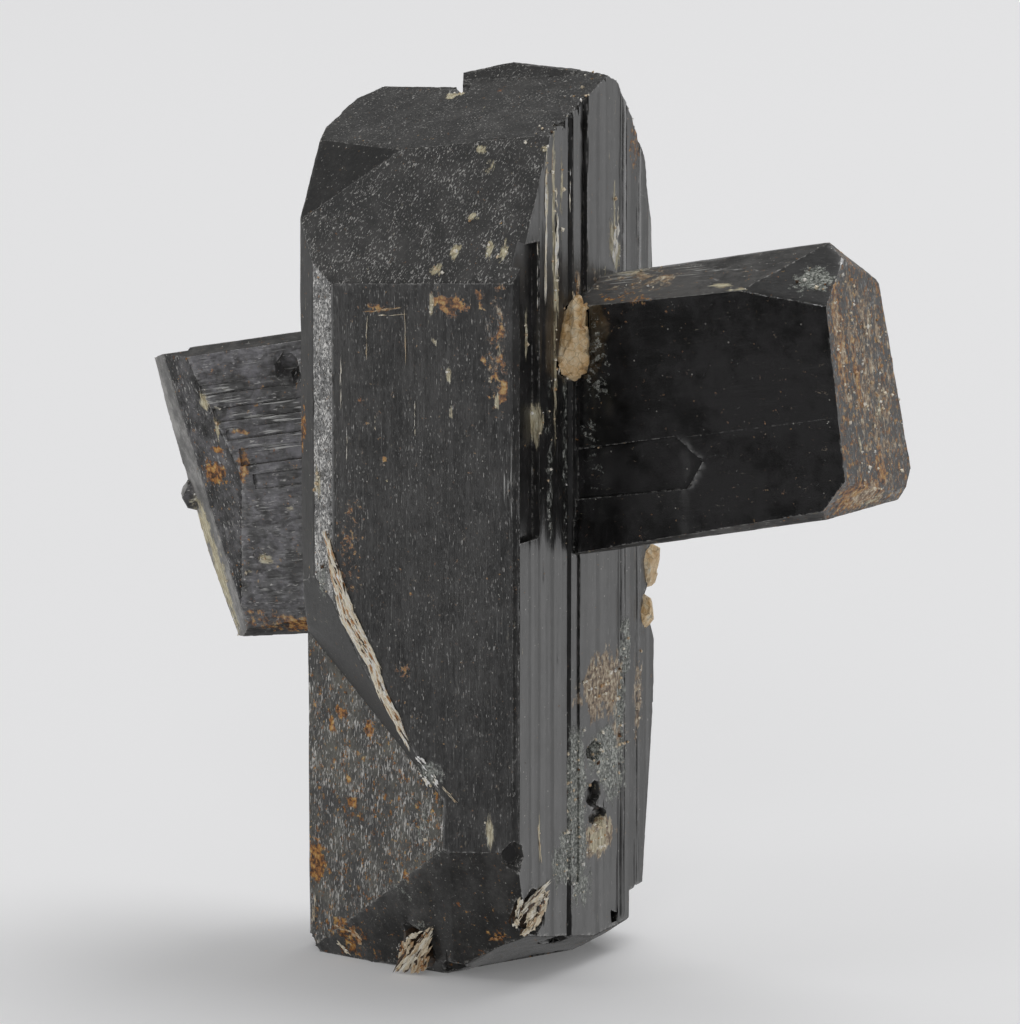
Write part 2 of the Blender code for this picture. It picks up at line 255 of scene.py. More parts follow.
def divided_crystal():
    """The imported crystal, with its zones marked and its faces finely divided."""
    solid = packed_solid("crystal_cross")
    bmesh.ops.dissolve_limit(
        solid, angle_limit=math.radians(0.3), verts=solid.verts, edges=solid.edges)
    slab = [face for face in solid.faces if SIDE_FACE[0] < face.calc_center_median().x < SIDE_FACE[1]
            and face.calc_center_median().y > SLAB_START and face.normal.x > 0.9]
    around = dict.fromkeys(part for face in slab for part in (*face.edges, *face.verts))
    bmesh.ops.bisect_plane(
        solid, geom=[*slab, *around], dist=0.0001,
        plane_co=(0.0, 0.0, SLAB_FOOT), plane_no=(0.0, 0.0, 1.0))
    facet = solid.faces.layers.int.new("facet")
    for number, face in enumerate(solid.faces):
        face[facet] = number
        centre = face.calc_center_median()
        if centre.x > RIGHT_ARM_START:
            zone = arm_zone(face.normal, centre, right=True)
        elif centre.x < LEFT_ARM_START:
            zone = arm_zone(face.normal, centre, right=False)
        else:
            zone = upright_zone(face.normal, centre)
        face.material_index = ZONES.index(zone)
    bmesh.ops.triangulate(solid, faces=solid.faces[:])

    points = [corner.co.copy() for corner in solid.verts]
    on_edge = {}
    for edge in solid.edges:
        ends = [corner.co for corner in edge.verts]
        added = []
        cuts = {cut for face in edge.link_faces for cut in zone_cuts(ZONES[face.material_index])}
        for name, step in sorted(cuts):
            direction = CUT_DIRECTIONS[name]
            for number in crossing_planes(ends, direction, step):
                place = number * step
                near = ends + [point for _, point in added]
                if all(abs(point.dot(direction) - place) > SNAP for point in near):
                    first, last = (end.dot(direction) for end in ends)
                    share = (place - first) / (last - first)
                    added.append((share, ends[0].lerp(ends[1], share)))
        added.sort(key=lambda pair: pair[0])
        on_edge[edge.index] = list(range(len(points), len(points) + len(added)))
        points += [point for _, point in added]

    result = bmesh.new()
    result_facet = result.faces.layers.int.new("facet")
    shared, built = {}, []
    for face in solid.faces:
        outline = []
        for loop in face.loops:
            inner = on_edge[loop.edge.index]
            outline.append(loop.vert.index)
            outline += inner if loop.edge.verts[0] == loop.vert else inner[::-1]
        cells = [outline]
        corners = [corner.co for corner in face.verts]
        for name, step in zone_cuts(ZONES[face.material_index]):
            planes = crossing_planes(corners, CUT_DIRECTIONS[name], step)
            cells = split_cells(cells, points, shared, name, step, planes)
        built += [(cell, face.material_index, face[facet]) for cell in cells]
    made = [result.verts.new(point) for point in points]
    for cell, zone, number in built:
        new_face = result.faces.new([made[index] for index in cell])
        new_face.material_index = zone
        new_face[result_facet] = number
    diagonals = []
    for edge in result.edges:
        one, two = edge.link_faces
        if one[result_facet] == two[result_facet]:
            run = edge.verts[1].co - edge.verts[0].co
            cuts = zone_cuts(ZONES[one.material_index])
            if all(abs(run.dot(CUT_DIRECTIONS[name])) > 1.5 * SNAP for name, _ in cuts):
                diagonals.append(edge)
    bmesh.ops.dissolve_edges(result, edges=diagonals, use_verts=True)
    solid.free()
    return result


# The relief of each zone, in mm: growth lines, pits, a pit's size across and along, and waviness.
RELIEF = {
    "front": (0.006, 0.006, 0.10, 0.34, 0.014),
    "slope": (0.002, 0.004, 0.09, 0.26, 0.020),
    "crown": (0.004, 0.018, 0.16, 0.16, 0.040),
    "dark_facet": (0.000, 0.006, 0.20, 0.20, 0.010),
    "band": (0.004, 0.003, 0.15, 0.50, 0.008),
    "glitter": (0.000, 0.018, 0.10, 0.14, 0.000),
    "stepped": (0.004, 0.010, 0.10, 0.26, 0.030),
    "riser": (0.004, 0.006, 0.30, 0.30, 0.015),
    "fracture": (0.000, 0.004, 0.20, 0.20, 0.080),
    "side": (0.009, 0.002, 0.14, 0.70, 0.010),
    "slab": (0.006, 0.002, 0.14, 0.70, 0.010),
    "left": (0.020, 0.008, 0.20, 0.60, 0.020),
    "back": (0.024, 0.010, 0.20, 0.60, 0.030),
    "corner_band": (0.000, 0.004, 0.20, 0.50, 0.008),
    "foot": (0.000, 0.000, 1.00, 1.00, 0.000),
    "arm_front": (0.0015, 0.000, 0.30, 0.30, 0.006),
    "arm_corner": (0.000, 0.026, 0.12, 0.12, 0.000),
    "arm_low_corner": (0.004, 0.026, 0.12, 0.25, 0.020),
    "arm_bevel": (0.016, 0.006, 0.15, 0.50, 0.010),
    "arm_shade": (0.006, 0.004, 0.15, 0.50, 0.010),
    "arm_top": (0.016, 0.006, 0.20, 0.50, 0.010),
    "arm_end": (0.014, 0.020, 0.12, 0.44, 0.030),
    "arm_back": (0.020, 0.006, 0.20, 0.50, 0.020),
    "left_front": (0.030, 0.010, 0.12, 0.60, 0.020),
    "left_facet": (0.020, 0.016, 0.22, 0.40, 0.040),
    "left_bevel": (0.020, 0.020, 0.16, 0.40, 0.020),
    "left_end": (0.020, 0.020, 0.20, 0.40, 0.040),
    "left_sliver": (0.004, 0.010, 0.30, 0.60, 0.050),
}
# The zones whose small facets keep flat normals and catch the light one by one.
SPARKLING = ("slope", "glitter", "stepped", "arm_corner", "arm_low_corner", "arm_end")


def lines_and_length(zone, p):
    """Where a point lies across the growth lines of its zone, and along them."""
    if zone in ("side", "slab", "left", "band"):
        return p.y, p.z
    if zone in ("slope", "stepped"):
        return p.x + 0.16 * p.z, p.z
    if zone == "crown":
        return p.y, p.x
    if zone in UPRIGHT_ZONES:
        return p.x, p.z
    if zone in ("arm_end", "left_end", "arm_corner", "arm_low_corner"):
        return p.y, p.dot(ARM_RISE)
    if zone in ("arm_bevel", "arm_shade", "arm_top", "left_bevel"):
        return p.y, p.dot(ARM_AXIS)
    return p.dot(ARM_RISE), p.dot(ARM_AXIS)


def growth_lines(across, along, seed):
    """Lengthwise steps and threads that run along a face and fade out, from about -1 to 1."""
    steps = noise.noise(Vector((across * 1.7, along * 0.05, seed)))
    steps = 0.5 * steps + 0.5 * round(steps * 3.0) / 3.0
    ribs = noise.noise(Vector((across * 5.2, along * 0.13, seed + 3.0)))
    threads = noise.noise(Vector((across * 11.0, along * 0.38, seed + 7.0)))
    return 0.9 * steps + 0.5 * ribs + 0.35 * threads


def broken_waves(p):
    """The curved ripples of a fresh break, from about -1 to 1."""
    bent = p + 0.5 * noise.noise_vector(p * 0.5)
    far = (bent - Vector((-6.0, -9.0, 2.0))).length
    return 0.8 * noise.noise(p * 0.55) + 0.35 * abs(math.sin(far * 3.1)) + 0.2 * noise.noise(p * 2.2)


def crumbled_corner(p):
    """The crumbled strip along the right edge of the crown, where the surface is broken down."""
    rough = max(0.0, 1.0 - (5.15 - p.x) / 1.5) if p.z > CROWN_START else 0.0
    broken = 0.05 + 0.10 * abs(noise.noise(p * 2.6)) + 0.06 * noise.noise(p * 7.0)
    return -rough * broken


# The low step on the front of the right arm: where it starts along X, how far across the arm it
# lies, how high it is, and how wide and strong the highlight painted along its rim is.
GROWTH_STEP = (9.4, 17.05)
STEP_HEIGHT = 0.018
STEP_RIM, STEP_HIGHLIGHT = 0.07, 0.74


def height_of(zone, p):
    """How far the surface of a zone stands out from its flat face at a point, in mm."""
    growth, pits, pit_across, pit_along, wave = RELIEF[zone]
    across, along = lines_and_length(zone, p)
    height = wave * noise.noise(p * 0.45)
    if growth:
        height += growth * growth_lines(across, along, float(ZONES.index(zone)))
    if pits:
        cell = Vector((across / pit_across, along / pit_along, p.x + p.y))
        nearest, second = noise.voronoi(cell)[0][:2]
        rim = 1.0 - min(1.0, (second - nearest) * 1.6)
        height -= pits * rim * (0.6 + 0.4 * noise.noise(p * 1.3))
        height += 0.5 * pits * noise.cell(cell * 0.9)
    if zone == "fracture":
        height += 0.06 * broken_waves(p)
    if zone == "crown":
        height += crumbled_corner(p)
    if zone == "arm_front" and p.x > GROWTH_STEP[0] and p.dot(ARM_RISE) < GROWTH_STEP[1]:
        height += STEP_HEIGHT
    return height


# An edge this sharp or sharper is worn, and most of all near the crumbled part of the crown.
SHARP_EDGE = math.radians(14.0)
CRUMBLED_EDGE = Vector((5.15, -0.3, 30.4))


def wear_of(p):
    """How far an edge is worn back at a point, in mm."""
    worn = 0.012 + 0.020 * max(0.0, noise.noise(p * 1.1)) + 0.035 * max(0.0, noise.noise(p * 4.3) - 0.1)
    crumble = max(0.0, 1.0 - (p - CRUMBLED_EDGE).length / 3.0)
    return worn + crumble * (0.05 + 0.16 * noise.noise(p * 3.7))


# Stains, crusts, paler patches and painted sheen on the faces: the middle of each, its half sizes and its
# strength.
RUST_PLACES = [
    ((2.64, -4.70, 23.78), (0.66, 0.40, 0.24), 1.25),
    ((3.66, -4.70, 24.31), (0.16, 0.40, 0.16), 0.95),
    ((4.52, -4.70, 24.45), (0.22, 0.40, 0.16), 0.75),
    ((4.35, -4.70, 22.20), (0.34, 0.40, 1.90), 0.38),
    ((4.63, -4.70, 20.95), (0.20, 0.40, 0.40), 0.95),
    ((3.82, -4.70, 23.84), (0.26, 0.40, 0.12), 0.90),
    ((4.52, -4.70, 23.04), (0.15, 0.40, 0.20), 1.10),
    ((4.52, -4.70, 21.92), (0.14, 0.40, 0.20), 1.10),
    ((3.89, -4.70, 22.01), (0.11, 0.40, 0.12), 1.00),
    ((-0.10, -4.70, 23.44), (0.66, 0.30, 0.06), 1.0),
    ((-1.00, -4.70, 20.25), (0.11, 0.30, 0.11), 1.1),
    ((-0.05, -4.70, 18.20), (0.07, 0.30, 0.07), 1.1),
    ((-3.95, -3.60, 18.70), (0.30, 0.50, 0.80), 0.8),
    ((-1.50, -4.70, 15.20), (0.50, 0.40, 1.60), 0.36),
    ((0.70, -4.70, 10.90), (0.30, 0.40, 0.30), 0.50),
    ((-2.80, -3.20, 8.90), (0.26, 0.50, 0.15), 1.0),
    ((-3.30, -3.00, 8.25), (0.12, 0.50, 0.24), 1.0),
    ((-1.40, -3.60, 8.45), (0.17, 0.50, 0.22), 1.0),
    ((-2.45, -3.30, 6.50), (0.11, 0.50, 0.11), 1.0),
    ((-2.20, -3.35, 5.75), (0.19, 0.50, 0.16), 1.0),
    ((-4.10, -2.75, 3.30), (0.46, 0.60, 0.54), 0.90),
    ((0.45, -4.15, 3.55), (0.15, 0.40, 0.12), 1.0),
    ((-2.50, -3.10, 0.95), (0.90, 0.50, 0.40), 0.60),
    ((-2.60, -2.95, 0.30), (0.50, 0.50, 0.26), 0.72),
    ((-1.30, -3.10, 0.40), (0.19, 0.50, 0.19), 0.9),
    ((3.85, -3.80, 1.70), (0.42, 0.50, 0.20), 0.6),
    ((-9.90, -0.18, 16.35), (0.56, 0.50, 0.40), 0.95),
    ((-9.61, -0.41, 17.17), (0.22, 0.40, 0.12), 1.1),
    ((-8.45, -0.60, 16.75), (0.20, 0.30, 0.50), 1.1),
    ((-6.90, 0.68, 10.92), (0.70, 0.80, 0.40), 0.8),
    ((-8.30, 0.50, 10.90), (0.80, 0.80, 0.40), 0.5),
    ((-8.60, -0.60, 17.95), (0.40, 0.30, 0.08), 0.9),
    ((14.75, 0.20, 22.90), (0.50, 0.36, 1.90), 0.62),
    ((14.90, 1.30, 21.40), (0.50, 0.26, 1.10), 0.52),
    ((15.15, 2.60, 18.20), (0.50, 0.30, 0.60), 0.55),
    ((15.20, 1.10, 17.50), (0.60, 1.10, 0.50), 0.70),
    ((0.40, 3.00, 31.30), (1.90, 0.50, 0.50), 0.7),
    ((4.90, 3.60, 28.80), (0.40, 0.50, 1.20), 0.6),
    ((7.60, 0.20, 23.60), (1.60, 0.80, 0.40), 0.5),
    ((-1.60, 5.10, 24.60), (0.60, 0.90, 0.40), 0.9),
    ((2.30, 5.30, 13.20), (0.34, 0.90, 1.10), 0.7),
    ((-2.60, 4.90, 7.00), (0.50, 0.90, 0.70), 0.8),
    ((0.60, 5.30, 2.20), (0.70, 0.90, 0.36), 0.8),
    ((-4.60, 1.60, 23.40), (0.80, 0.50, 0.90), 0.7),
    ((-4.60, 0.60, 6.40), (0.80, 0.60, 0.50), 0.8),
    ((10.60, 3.60, 20.60), (0.60, 0.80, 0.40), 0.7),
]


def amount_at(p, places):
    """The strength of a stain or crust at a point: full at the middle of a place, 0 at its rim."""
    most = 0.0
    bent = None
    for middle, size, strength in places:
        if all(abs(p[axis] - middle[axis]) < 2.0 * size[axis] + 0.1 for axis in range(3)):
            if bent is None:
                bent = noise.noise_vector(p * 1.7) * 0.45 + noise.noise_vector(p * 5.0) * 0.40
            far = sum(((p[axis] - middle[axis]) / size[axis] + bent[axis]) ** 2 for axis in range(3))
            most = max(most, strength * (1.0 - 0.5 * far))
    return most


CREAM_PLACES = [
    ((5.15, -2.60, 27.80), (0.30, 0.10, 1.80), 1.0),
    ((5.15, -2.10, 26.80), (0.30, 0.13, 2.40), 1.0),
    ((5.15, -1.60, 27.40), (0.30, 0.10, 1.40), 0.8),
    ((5.15, -1.95, 24.40), (0.30, 0.20, 1.00), 0.9),
    ((5.15, 1.90, 25.60), (0.30, 0.16, 0.90), 0.9),
    ((5.15, 2.35, 24.80), (0.30, 0.26, 0.50), 1.0),
    ((5.15, 2.10, 26.60), (0.30, 0.08, 0.90), 0.8),
    ((4.85, -3.45, 22.60), (0.30, 0.12, 0.90), 0.9),
    ((4.90, -3.00, 19.70), (0.30, 0.22, 0.65), 1.0),
    ((5.15, -1.95, 21.40), (0.30, 0.12, 2.20), 0.8),
    ((5.15, 1.10, 4.45), (0.40, 0.85, 0.62), 0.9),
    ((5.15, -3.05, 5.10), (0.30, 0.05, 0.85), 1.1),
    ((2.45, -4.20, 25.55), (0.22, 0.30, 0.26), 1.0),
    ((1.97, -4.49, 24.92), (0.26, 0.30, 0.20), 0.8),
    ((3.81, -4.15, 25.65), (0.13, 0.40, 0.46), 0.9),
    ((4.36, -4.15, 25.70), (0.15, 0.40, 0.40), 0.95),
    ((2.84, -3.66, 26.69), (0.20, 0.40, 0.14), 0.85),
    ((3.09, -2.90, 28.26), (0.22, 0.40, 0.30), 0.6),
    ((2.52, -2.53, 28.90), (0.30, 0.40, 0.16), 0.7),
    ((2.52, -4.70, 21.39), (0.12, 0.30, 0.20), 1.1),
    ((2.60, -4.70, 20.13), (0.12, 0.30, 0.16), 1.1),
    ((1.93, -4.70, 22.48), (0.08, 0.30, 0.14), 1.0),
    ((1.86, -4.70, 23.70), (0.10, 0.30, 0.34), 0.9),
    ((4.48, -4.70, 22.40), (0.09, 0.30, 0.40), 0.9),
    ((4.40, -4.70, 20.66), (0.10, 0.30, 0.30), 1.0),
    ((-2.90, -4.46, 17.20), (0.16, 0.30, 0.60), 0.9),
    ((-0.70, 1.10, 30.25), (0.34, 0.34, 0.30), 1.0),
    ((4.10, -4.70, 5.60), (0.24, 0.30, 0.55), 0.8),
    ((-7.90, 0.00, 13.34), (0.36, 0.40, 0.20), 1.0),
    ((-8.70, 0.10, 12.70), (0.30, 0.40, 0.20), 0.7),
    ((-6.55, -0.47, 15.38), (0.12, 0.40, 0.16), 1.1),
    ((-10.06, -0.50, 19.00), (0.26, 0.40, 0.30), 0.95),
    ((-9.55, -0.55, 18.30), (0.14, 0.40, 0.70), 0.8),
    ((-11.20, 1.00, 14.00), (0.55, 0.60, 1.30), 1.0),
    ((-10.60, 1.05, 12.40), (0.70, 0.60, 1.60), 1.0),
    ((-10.20, 1.10, 11.00), (0.50, 0.60, 1.00), 0.7),
    ((6.10, 1.40, 24.45), (1.10, 0.60, 0.30), 0.55),
    ((10.46, -0.13, 24.47), (0.50, 0.16, 0.16), 0.9),
    ((11.30, -0.50, 24.42), (0.60, 0.10, 0.12), 0.9),
    ((14.60, 2.93, 23.19), (0.30, 0.14, 0.40), 0.7),
    ((15.00, 2.97, 20.13), (0.30, 0.20, 0.50), 0.7),
    ((15.20, 0.90, 19.07), (0.30, 0.16, 0.50), 0.6),
    ((15.10, 2.10, 17.16), (0.30, 0.50, 0.20), 0.8),
    ((-0.50, 5.30, 17.60), (0.12, 0.90, 1.50), 0.9),
    ((1.20, 5.30, 21.80), (0.10, 0.90, 0.80), 0.9),
    ((-4.70, 2.60, 10.60), (0.80, 0.14, 1.20), 0.9),
]
CHALK_PLACES = [
    ((5.15, -2.40, 18.20), (0.40, 0.26, 3.00), 0.6),
    ((5.15, -1.35, 19.60), (0.30, 0.20, 4.20), 0.55),
    ((5.10, -0.50, 6.60), (0.40, 0.66, 1.90), 1.30),
    ((5.12, -0.95, 4.25), (0.50, 1.00, 0.95), 1.45),
    ((5.15, -0.10, 3.00), (0.40, 0.66, 0.80), 0.95),
    ((5.15, 0.80, 7.60), (0.40, 0.60, 0.60), 0.85),
    ((5.15, 3.03, 11.00), (0.40, 0.32, 1.20), 1.25),
    ((5.12, 2.55, 9.20), (0.40, 0.40, 1.30), 1.15),
    ((5.13, 2.00, 7.30), (0.40, 1.00, 0.95), 1.35),
    ((5.13, 2.30, 6.10), (0.40, 0.80, 0.60), 0.85),
    ((0.70, -3.72, 1.75), (0.36, 0.40, 0.20), 0.90),
    ((1.40, -4.35, 5.40), (0.80, 0.40, 1.00), 0.5),
    ((0.00, -4.00, 3.30), (0.90, 0.40, 0.70), 0.45),
    ((1.70, -4.60, 7.50), (0.50, 0.40, 0.40), 0.9),
    ((-2.70, -4.40, 13.70), (0.30, 0.50, 0.80), 0.7),
    ((5.95, -0.60, 21.50), (0.50, 0.30, 1.60), 0.45),
    ((13.80, 0.20, 24.85), (0.62, 0.90, 0.42), 1.15),
    ((5.80, -0.60, 18.20), (0.40, 0.30, 1.60), 0.40),
    ((1.40, 5.20, 7.60), (0.80, 1.00, 1.50), 1.0),
    ((-0.80, 5.20, 4.20), (0.90, 1.00, 0.80), 0.9),
    ((-4.60, 2.20, 4.20), (0.80, 0.80, 1.30), 0.9),
]
TAN_PLACES = [
    ((5.15, 1.20, 9.84), (0.40, 1.40, 0.95), 1.40),
    ((5.12, 1.90, 9.10), (0.40, 0.60, 0.50), 0.8),
    ((5.06, 4.05, 9.00), (0.40, 0.50, 1.50), 0.72),
    ((5.15, 2.60, 8.10), (0.40, 0.50, 0.50), 0.7),
    ((5.15, 1.15, 4.40), (0.40, 1.00, 0.62), 1.30),
    ((5.15, -0.54, 24.10), (0.30, 0.20, 0.40), 1.0),
    ((5.15, -2.20, 28.30), (0.30, 0.10, 0.60), 0.9),
    ((7.20, 0.80, 24.20), (2.20, 1.10, 0.70), 0.52),
    ((4.35, -4.70, 22.20), (0.50, 0.40, 1.80), 0.30),
    ((15.20, 1.60, 17.40), (0.60, 1.20, 0.50), 0.8),
    ((14.85, 2.40, 20.80), (1.00, 2.30, 4.20), 0.60),
    ((14.70, 0.20, 22.90), (0.60, 0.50, 1.60), 0.8),
]
# Places where the pale streaks are painted stronger, as the silvery sheen of the striated faces.
PAINTED_SHEEN_PLACES = [
    ((-7.60, -0.60, 19.10), (2.20, 0.40, 0.16), 0.9),
    ((-7.60, -0.55, 18.55), (2.20, 0.40, 0.14), 1.0),
    ((-7.20, -0.52, 18.05), (2.00, 0.40, 0.10), 0.7),
    ((-7.30, -0.52, 17.55), (1.60, 0.40, 0.16), 0.9),
    ((-9.20, -0.60, 19.50), (0.60, 0.40, 0.10), 0.8),
    ((-7.90, -0.50, 15.30), (0.60, 0.40, 0.20), 0.6),
    ((6.60, 1.10, 24.40), (1.60, 0.60, 0.50), 0.8),
    ((8.60, 0.90, 24.90), (2.20, 0.40, 0.40), 0.6),
    ((4.83, -4.70, 17.80), (0.18, 0.30, 1.70), 0.9),
]
# Places where the tone is paler.
PALER_TONE_PLACES = [
    ((12.60, -0.60, 21.20), (3.00, 0.60, 2.40), 1.0),
    ((7.40, 0.60, 24.20), (2.60, 1.40, 1.00), 1.8),
    ((9.80, -0.60, 17.40), (5.00, 0.60, 1.30), 0.9),
    ((-1.60, -4.70, 20.00), (0.70, 0.60, 4.50), 0.8),
    ((-1.20, -4.70, 14.20), (0.60, 0.60, 3.00), 0.6),
    ((2.40, -4.70, 15.50), (1.80, 0.60, 5.00), 0.6),
    ((2.20, -4.70, 22.60), (1.60, 0.60, 1.60), 0.5),
]
MARKS = {
    "rust": RUST_PLACES, "cream": CREAM_PLACES, "chalk": CHALK_PLACES,
    "tan": TAN_PLACES, "painted_sheen": PAINTED_SHEEN_PLACES, "paler_tone": PALER_TONE_PLACES,
}


def shape_crystal(solid):
    """Give the divided crystal its relief and worn edges, and note the marks at each point."""
    facet = solid.faces.layers.int["facet"]
    layers = {name: solid.verts.layers.float.new(name) for name in ("edge", *MARKS)}
    for edge in solid.edges:
        if edge.calc_face_angle(0.0) > SHARP_EDGE:
            for corner in edge.verts:
                corner[layers["edge"]] = 1.0
    moves = []
    for corner in solid.verts:
        sides = {face[facet]: face for face in corner.link_faces}
        move = Vector()
        for face in sides.values():
            move += face.normal * height_of(ZONES[face.material_index], corner.co) / len(sides)
        if corner[layers["edge"]] > 0.0:
            move -= corner.normal * wear_of(corner.co)
        if any(ZONES[face.material_index] == "foot" for face in sides.values()):
            move = Vector()
        moves.append(move)
        # The rim of the arm's low step is marked as an edge, so that a pale highlight is painted along it.
        if corner.co.x > GROWTH_STEP[0] and abs(corner.co.dot(ARM_RISE) - GROWTH_STEP[1]) < STEP_RIM:
            if all(ZONES[face.material_index] == "arm_front" for face in sides.values()):
                corner[layers["edge"]] = STEP_HIGHLIGHT
        for name, places in MARKS.items():
            corner[layers[name]] = amount_at(corner.co, places)
    for corner, move in zip(solid.verts, moves):
        corner.co += move
    solid.normal_update()
    chance = random.Random(5)
    spots = []
    for corner in solid.verts:
        cream, chalk, tan = (corner[layers[name]] for name in ("cream", "chalk", "tan"))
        crumbling = corner.co.z > CROWN_START and corner.co.x > 4.2 and corner.normal.z > 0.2
        likely = 0.40 * max(0.0, cream - 0.25) + 0.20 * max(0.0, max(chalk, tan) - 0.2)
        likely += 0.045 if crumbling else 0.0
        if corner.co.x < -9.8:
            likely *= 0.2
        if chance.random() < likely:
            kind = "chalk" if chalk > cream or crumbling else "cream"
            spots.append((corner.co.copy(), corner.normal.copy(), kind))
    return spots


def finished_piece(name, solid, materials):
    """Make an object in metres from a mesh in millimetres."""
    bmesh.ops.scale(solid, vec=(MM, MM, MM), verts=solid.verts)
    mesh = bpy.data.meshes.new(name)
    solid.to_mesh(mesh)
    solid.free()
    for material in materials:
        mesh.materials.append(material)
    piece = bpy.data.objects.new(name, mesh)
    bpy.context.scene.collection.objects.link(piece)
    return piece


# The numbers of the mix node's colour sockets, which share their names with others.
MIX_COLOURS, MIX_RESULT = (6, 7), 2


def add(tree, kind, feeds=None, **settings):
    """Add a shader node. A feed is a socket to link, or a value to set on the node's own socket."""
    made = tree.nodes.new("ShaderNode" + kind)
    for name, value in settings.items():
        setattr(made, name, value)
    for name, feed in (feeds or {}).items():
        if isinstance(feed, bpy.types.NodeSocket):
            tree.links.new(feed, made.inputs[name])
        else:
            made.inputs[name].default_value = feed
    return made.outputs


def math_of(tree, operation, *feeds):
    """A number worked out from one to three sockets or values."""
    return add(tree, "Math", dict(enumerate(feeds)), operation=operation)[0]


def vector_of(tree, operation, *feeds):
    """A vector worked out from one or two sockets or values."""
    return add(tree, "VectorMath", dict(enumerate(feeds)), operation=operation)[0]


def scaled(tree, vector, scale):
    """A vector times a number."""
    return add(tree, "VectorMath", {0: vector, "Scale": scale}, operation="SCALE")[0]


def smooth_step(tree, value, start, end):
    """0 below start, 1 above end, and a smooth change between them."""
    return add(tree, "MapRange", {"Value": value, "From Min": start, "From Max": end},
               interpolation_type="SMOOTHSTEP")[0]


def noise_of(tree, place, scale, detail, roughness=0.5):
    """Cloudy noise, mostly between 0.3 and 0.7."""
    feeds = {"Vector": place, "Scale": scale, "Detail": detail, "Roughness": roughness}
    return add(tree, "TexNoise", feeds)["Fac"]


def blend_of(tree, share, one, two):
    """One colour where the share is 0 and the other where it is 1."""
    feeds = {0: share, MIX_COLOURS[0]: one, MIX_COLOURS[1]: two}
    return add(tree, "Mix", feeds, data_type="RGBA")[MIX_RESULT]


def ramp_of(tree, value, *stops):
    """A colour read from a ramp of (place, colour) stops."""
    made = tree.nodes.new("ShaderNodeValToRGB")
    marks = made.color_ramp.elements
    while len(marks) < len(stops):
        marks.new(0.5)
    for mark, (place, colour) in zip(marks, stops):
        mark.position = place
        mark.color = (*colour, 1.0)
    tree.links.new(value, made.inputs["Fac"])
    return made.outputs["Color"]


SOCKET_KINDS = {"VALUE": "Float", "RGBA": "Color", "VECTOR": "Vector"}


def effect(**inputs):
    """Make a node group of a function from named inputs to named outputs."""
    def build(work):
        group = bpy.data.node_groups.new(work.__name__, "ShaderNodeTree")
        for name, kind in inputs.items():
            group.interface.new_socket(name, in_out="INPUT", socket_type="NodeSocket" + kind)
        outputs = work(group, group.nodes.new("NodeGroupInput").outputs)
        for name, socket in outputs.items():
            kind = SOCKET_KINDS[socket.type]
            group.interface.new_socket(name, in_out="OUTPUT", socket_type="NodeSocket" + kind)
        ends = group.nodes.new("NodeGroupOutput").inputs
        for name, socket in outputs.items():
            group.links.new(socket, ends[name])
        return group
    return build


def use(tree, group, feeds):
    """Place an effect in a material with its own values."""
    return add(tree, "Group", feeds, node_tree=group)


@effect(Position="Vector", Stretch="Vector", More="Float")
def growth_threads(tree, given):
    """Fine threads along a crystal face: their height, and pale broken streaks painted along them as their
    sheen.
    """
    place = vector_of(tree, "MULTIPLY", given["Position"], given["Stretch"])
    broken = noise_of(tree, scaled(tree, place, 0.62), 1.0, 3.0, 0.6)
    more = math_of(tree, "MULTIPLY_ADD", math_of(tree, "MAXIMUM", given["More"], 0.0), 0.14, broken)
    return {"Height": noise_of(tree, place, 1.0, 4.0, 0.62), "Streaks": smooth_step(tree, more, 0.62, 0.72)}


@effect(Position="Vector", Stretch="Vector", Share="Float", Lean="Float")
def etch_and_painted_glints(tree, given):
    """Close-set etching: its height, the pale strokes and specks painted into the colour as glints of
    light, and the way each facet leans.
    """
    place = vector_of(tree, "MULTIPLY", given["Position"], given["Stretch"])
    strokes = add(tree, "TexNoise", {
        "Vector": place, "Scale": 1.0, "Detail": 2.5, "Roughness": 0.58, "Distortion": 0.3})["Fac"]
    groups = noise_of(tree, given["Position"], 1.3, 3.0)
    crowded = math_of(tree, "MULTIPLY_ADD", smooth_step(tree, groups, 0.36, 0.64), 0.50, 0.50)
    crowded = math_of(tree, "MULTIPLY", given["Share"], crowded)
    above = math_of(tree, "ADD", strokes, crowded)
    uneven = noise_of(tree, scaled(tree, place, 0.42), 1.0, 2.0)
    uneven = math_of(tree, "MULTIPLY_ADD", smooth_step(tree, uneven, 0.38, 0.66), 0.75, 0.20)
    bright = math_of(tree, "MULTIPLY", smooth_step(tree, above, 0.67, 0.77), uneven)
    bend = add(tree, "TexNoise", {"Vector": place, "Scale": 0.8, "Detail": 2.0})["Color"]
    cells = add(tree, "TexVoronoi", {"Vector": vector_of(tree, "ADD", place, bend), "Scale": 1.0})
    chance = add(tree, "SeparateColor", {"Color": cells["Color"]})
    chosen = math_of(tree, "GREATER_THAN", chance["Red"], math_of(tree, "MULTIPLY_ADD", crowded, -0.4, 1.0))
    size = math_of(tree, "MULTIPLY_ADD", chance["Blue"], 0.22, 0.14)
    inside = smooth_step(tree, math_of(tree, "SUBTRACT", size, cells["Distance"]), -0.05, 0.05)
    bright = math_of(tree, "MAXIMUM", bright, math_of(tree, "MULTIPLY", chosen, inside))
    sideways = scaled(tree, vector_of(tree, "SUBTRACT", cells["Color"], (0.5, 0.5, 0.5)), given["Lean"])
    leaning = vector_of(tree, "ADD", add(tree, "NewGeometry")["Normal"], sideways)
    return {"Height": strokes, "PaintedGlints": bright, "Normal": vector_of(tree, "NORMALIZE", leaning)}


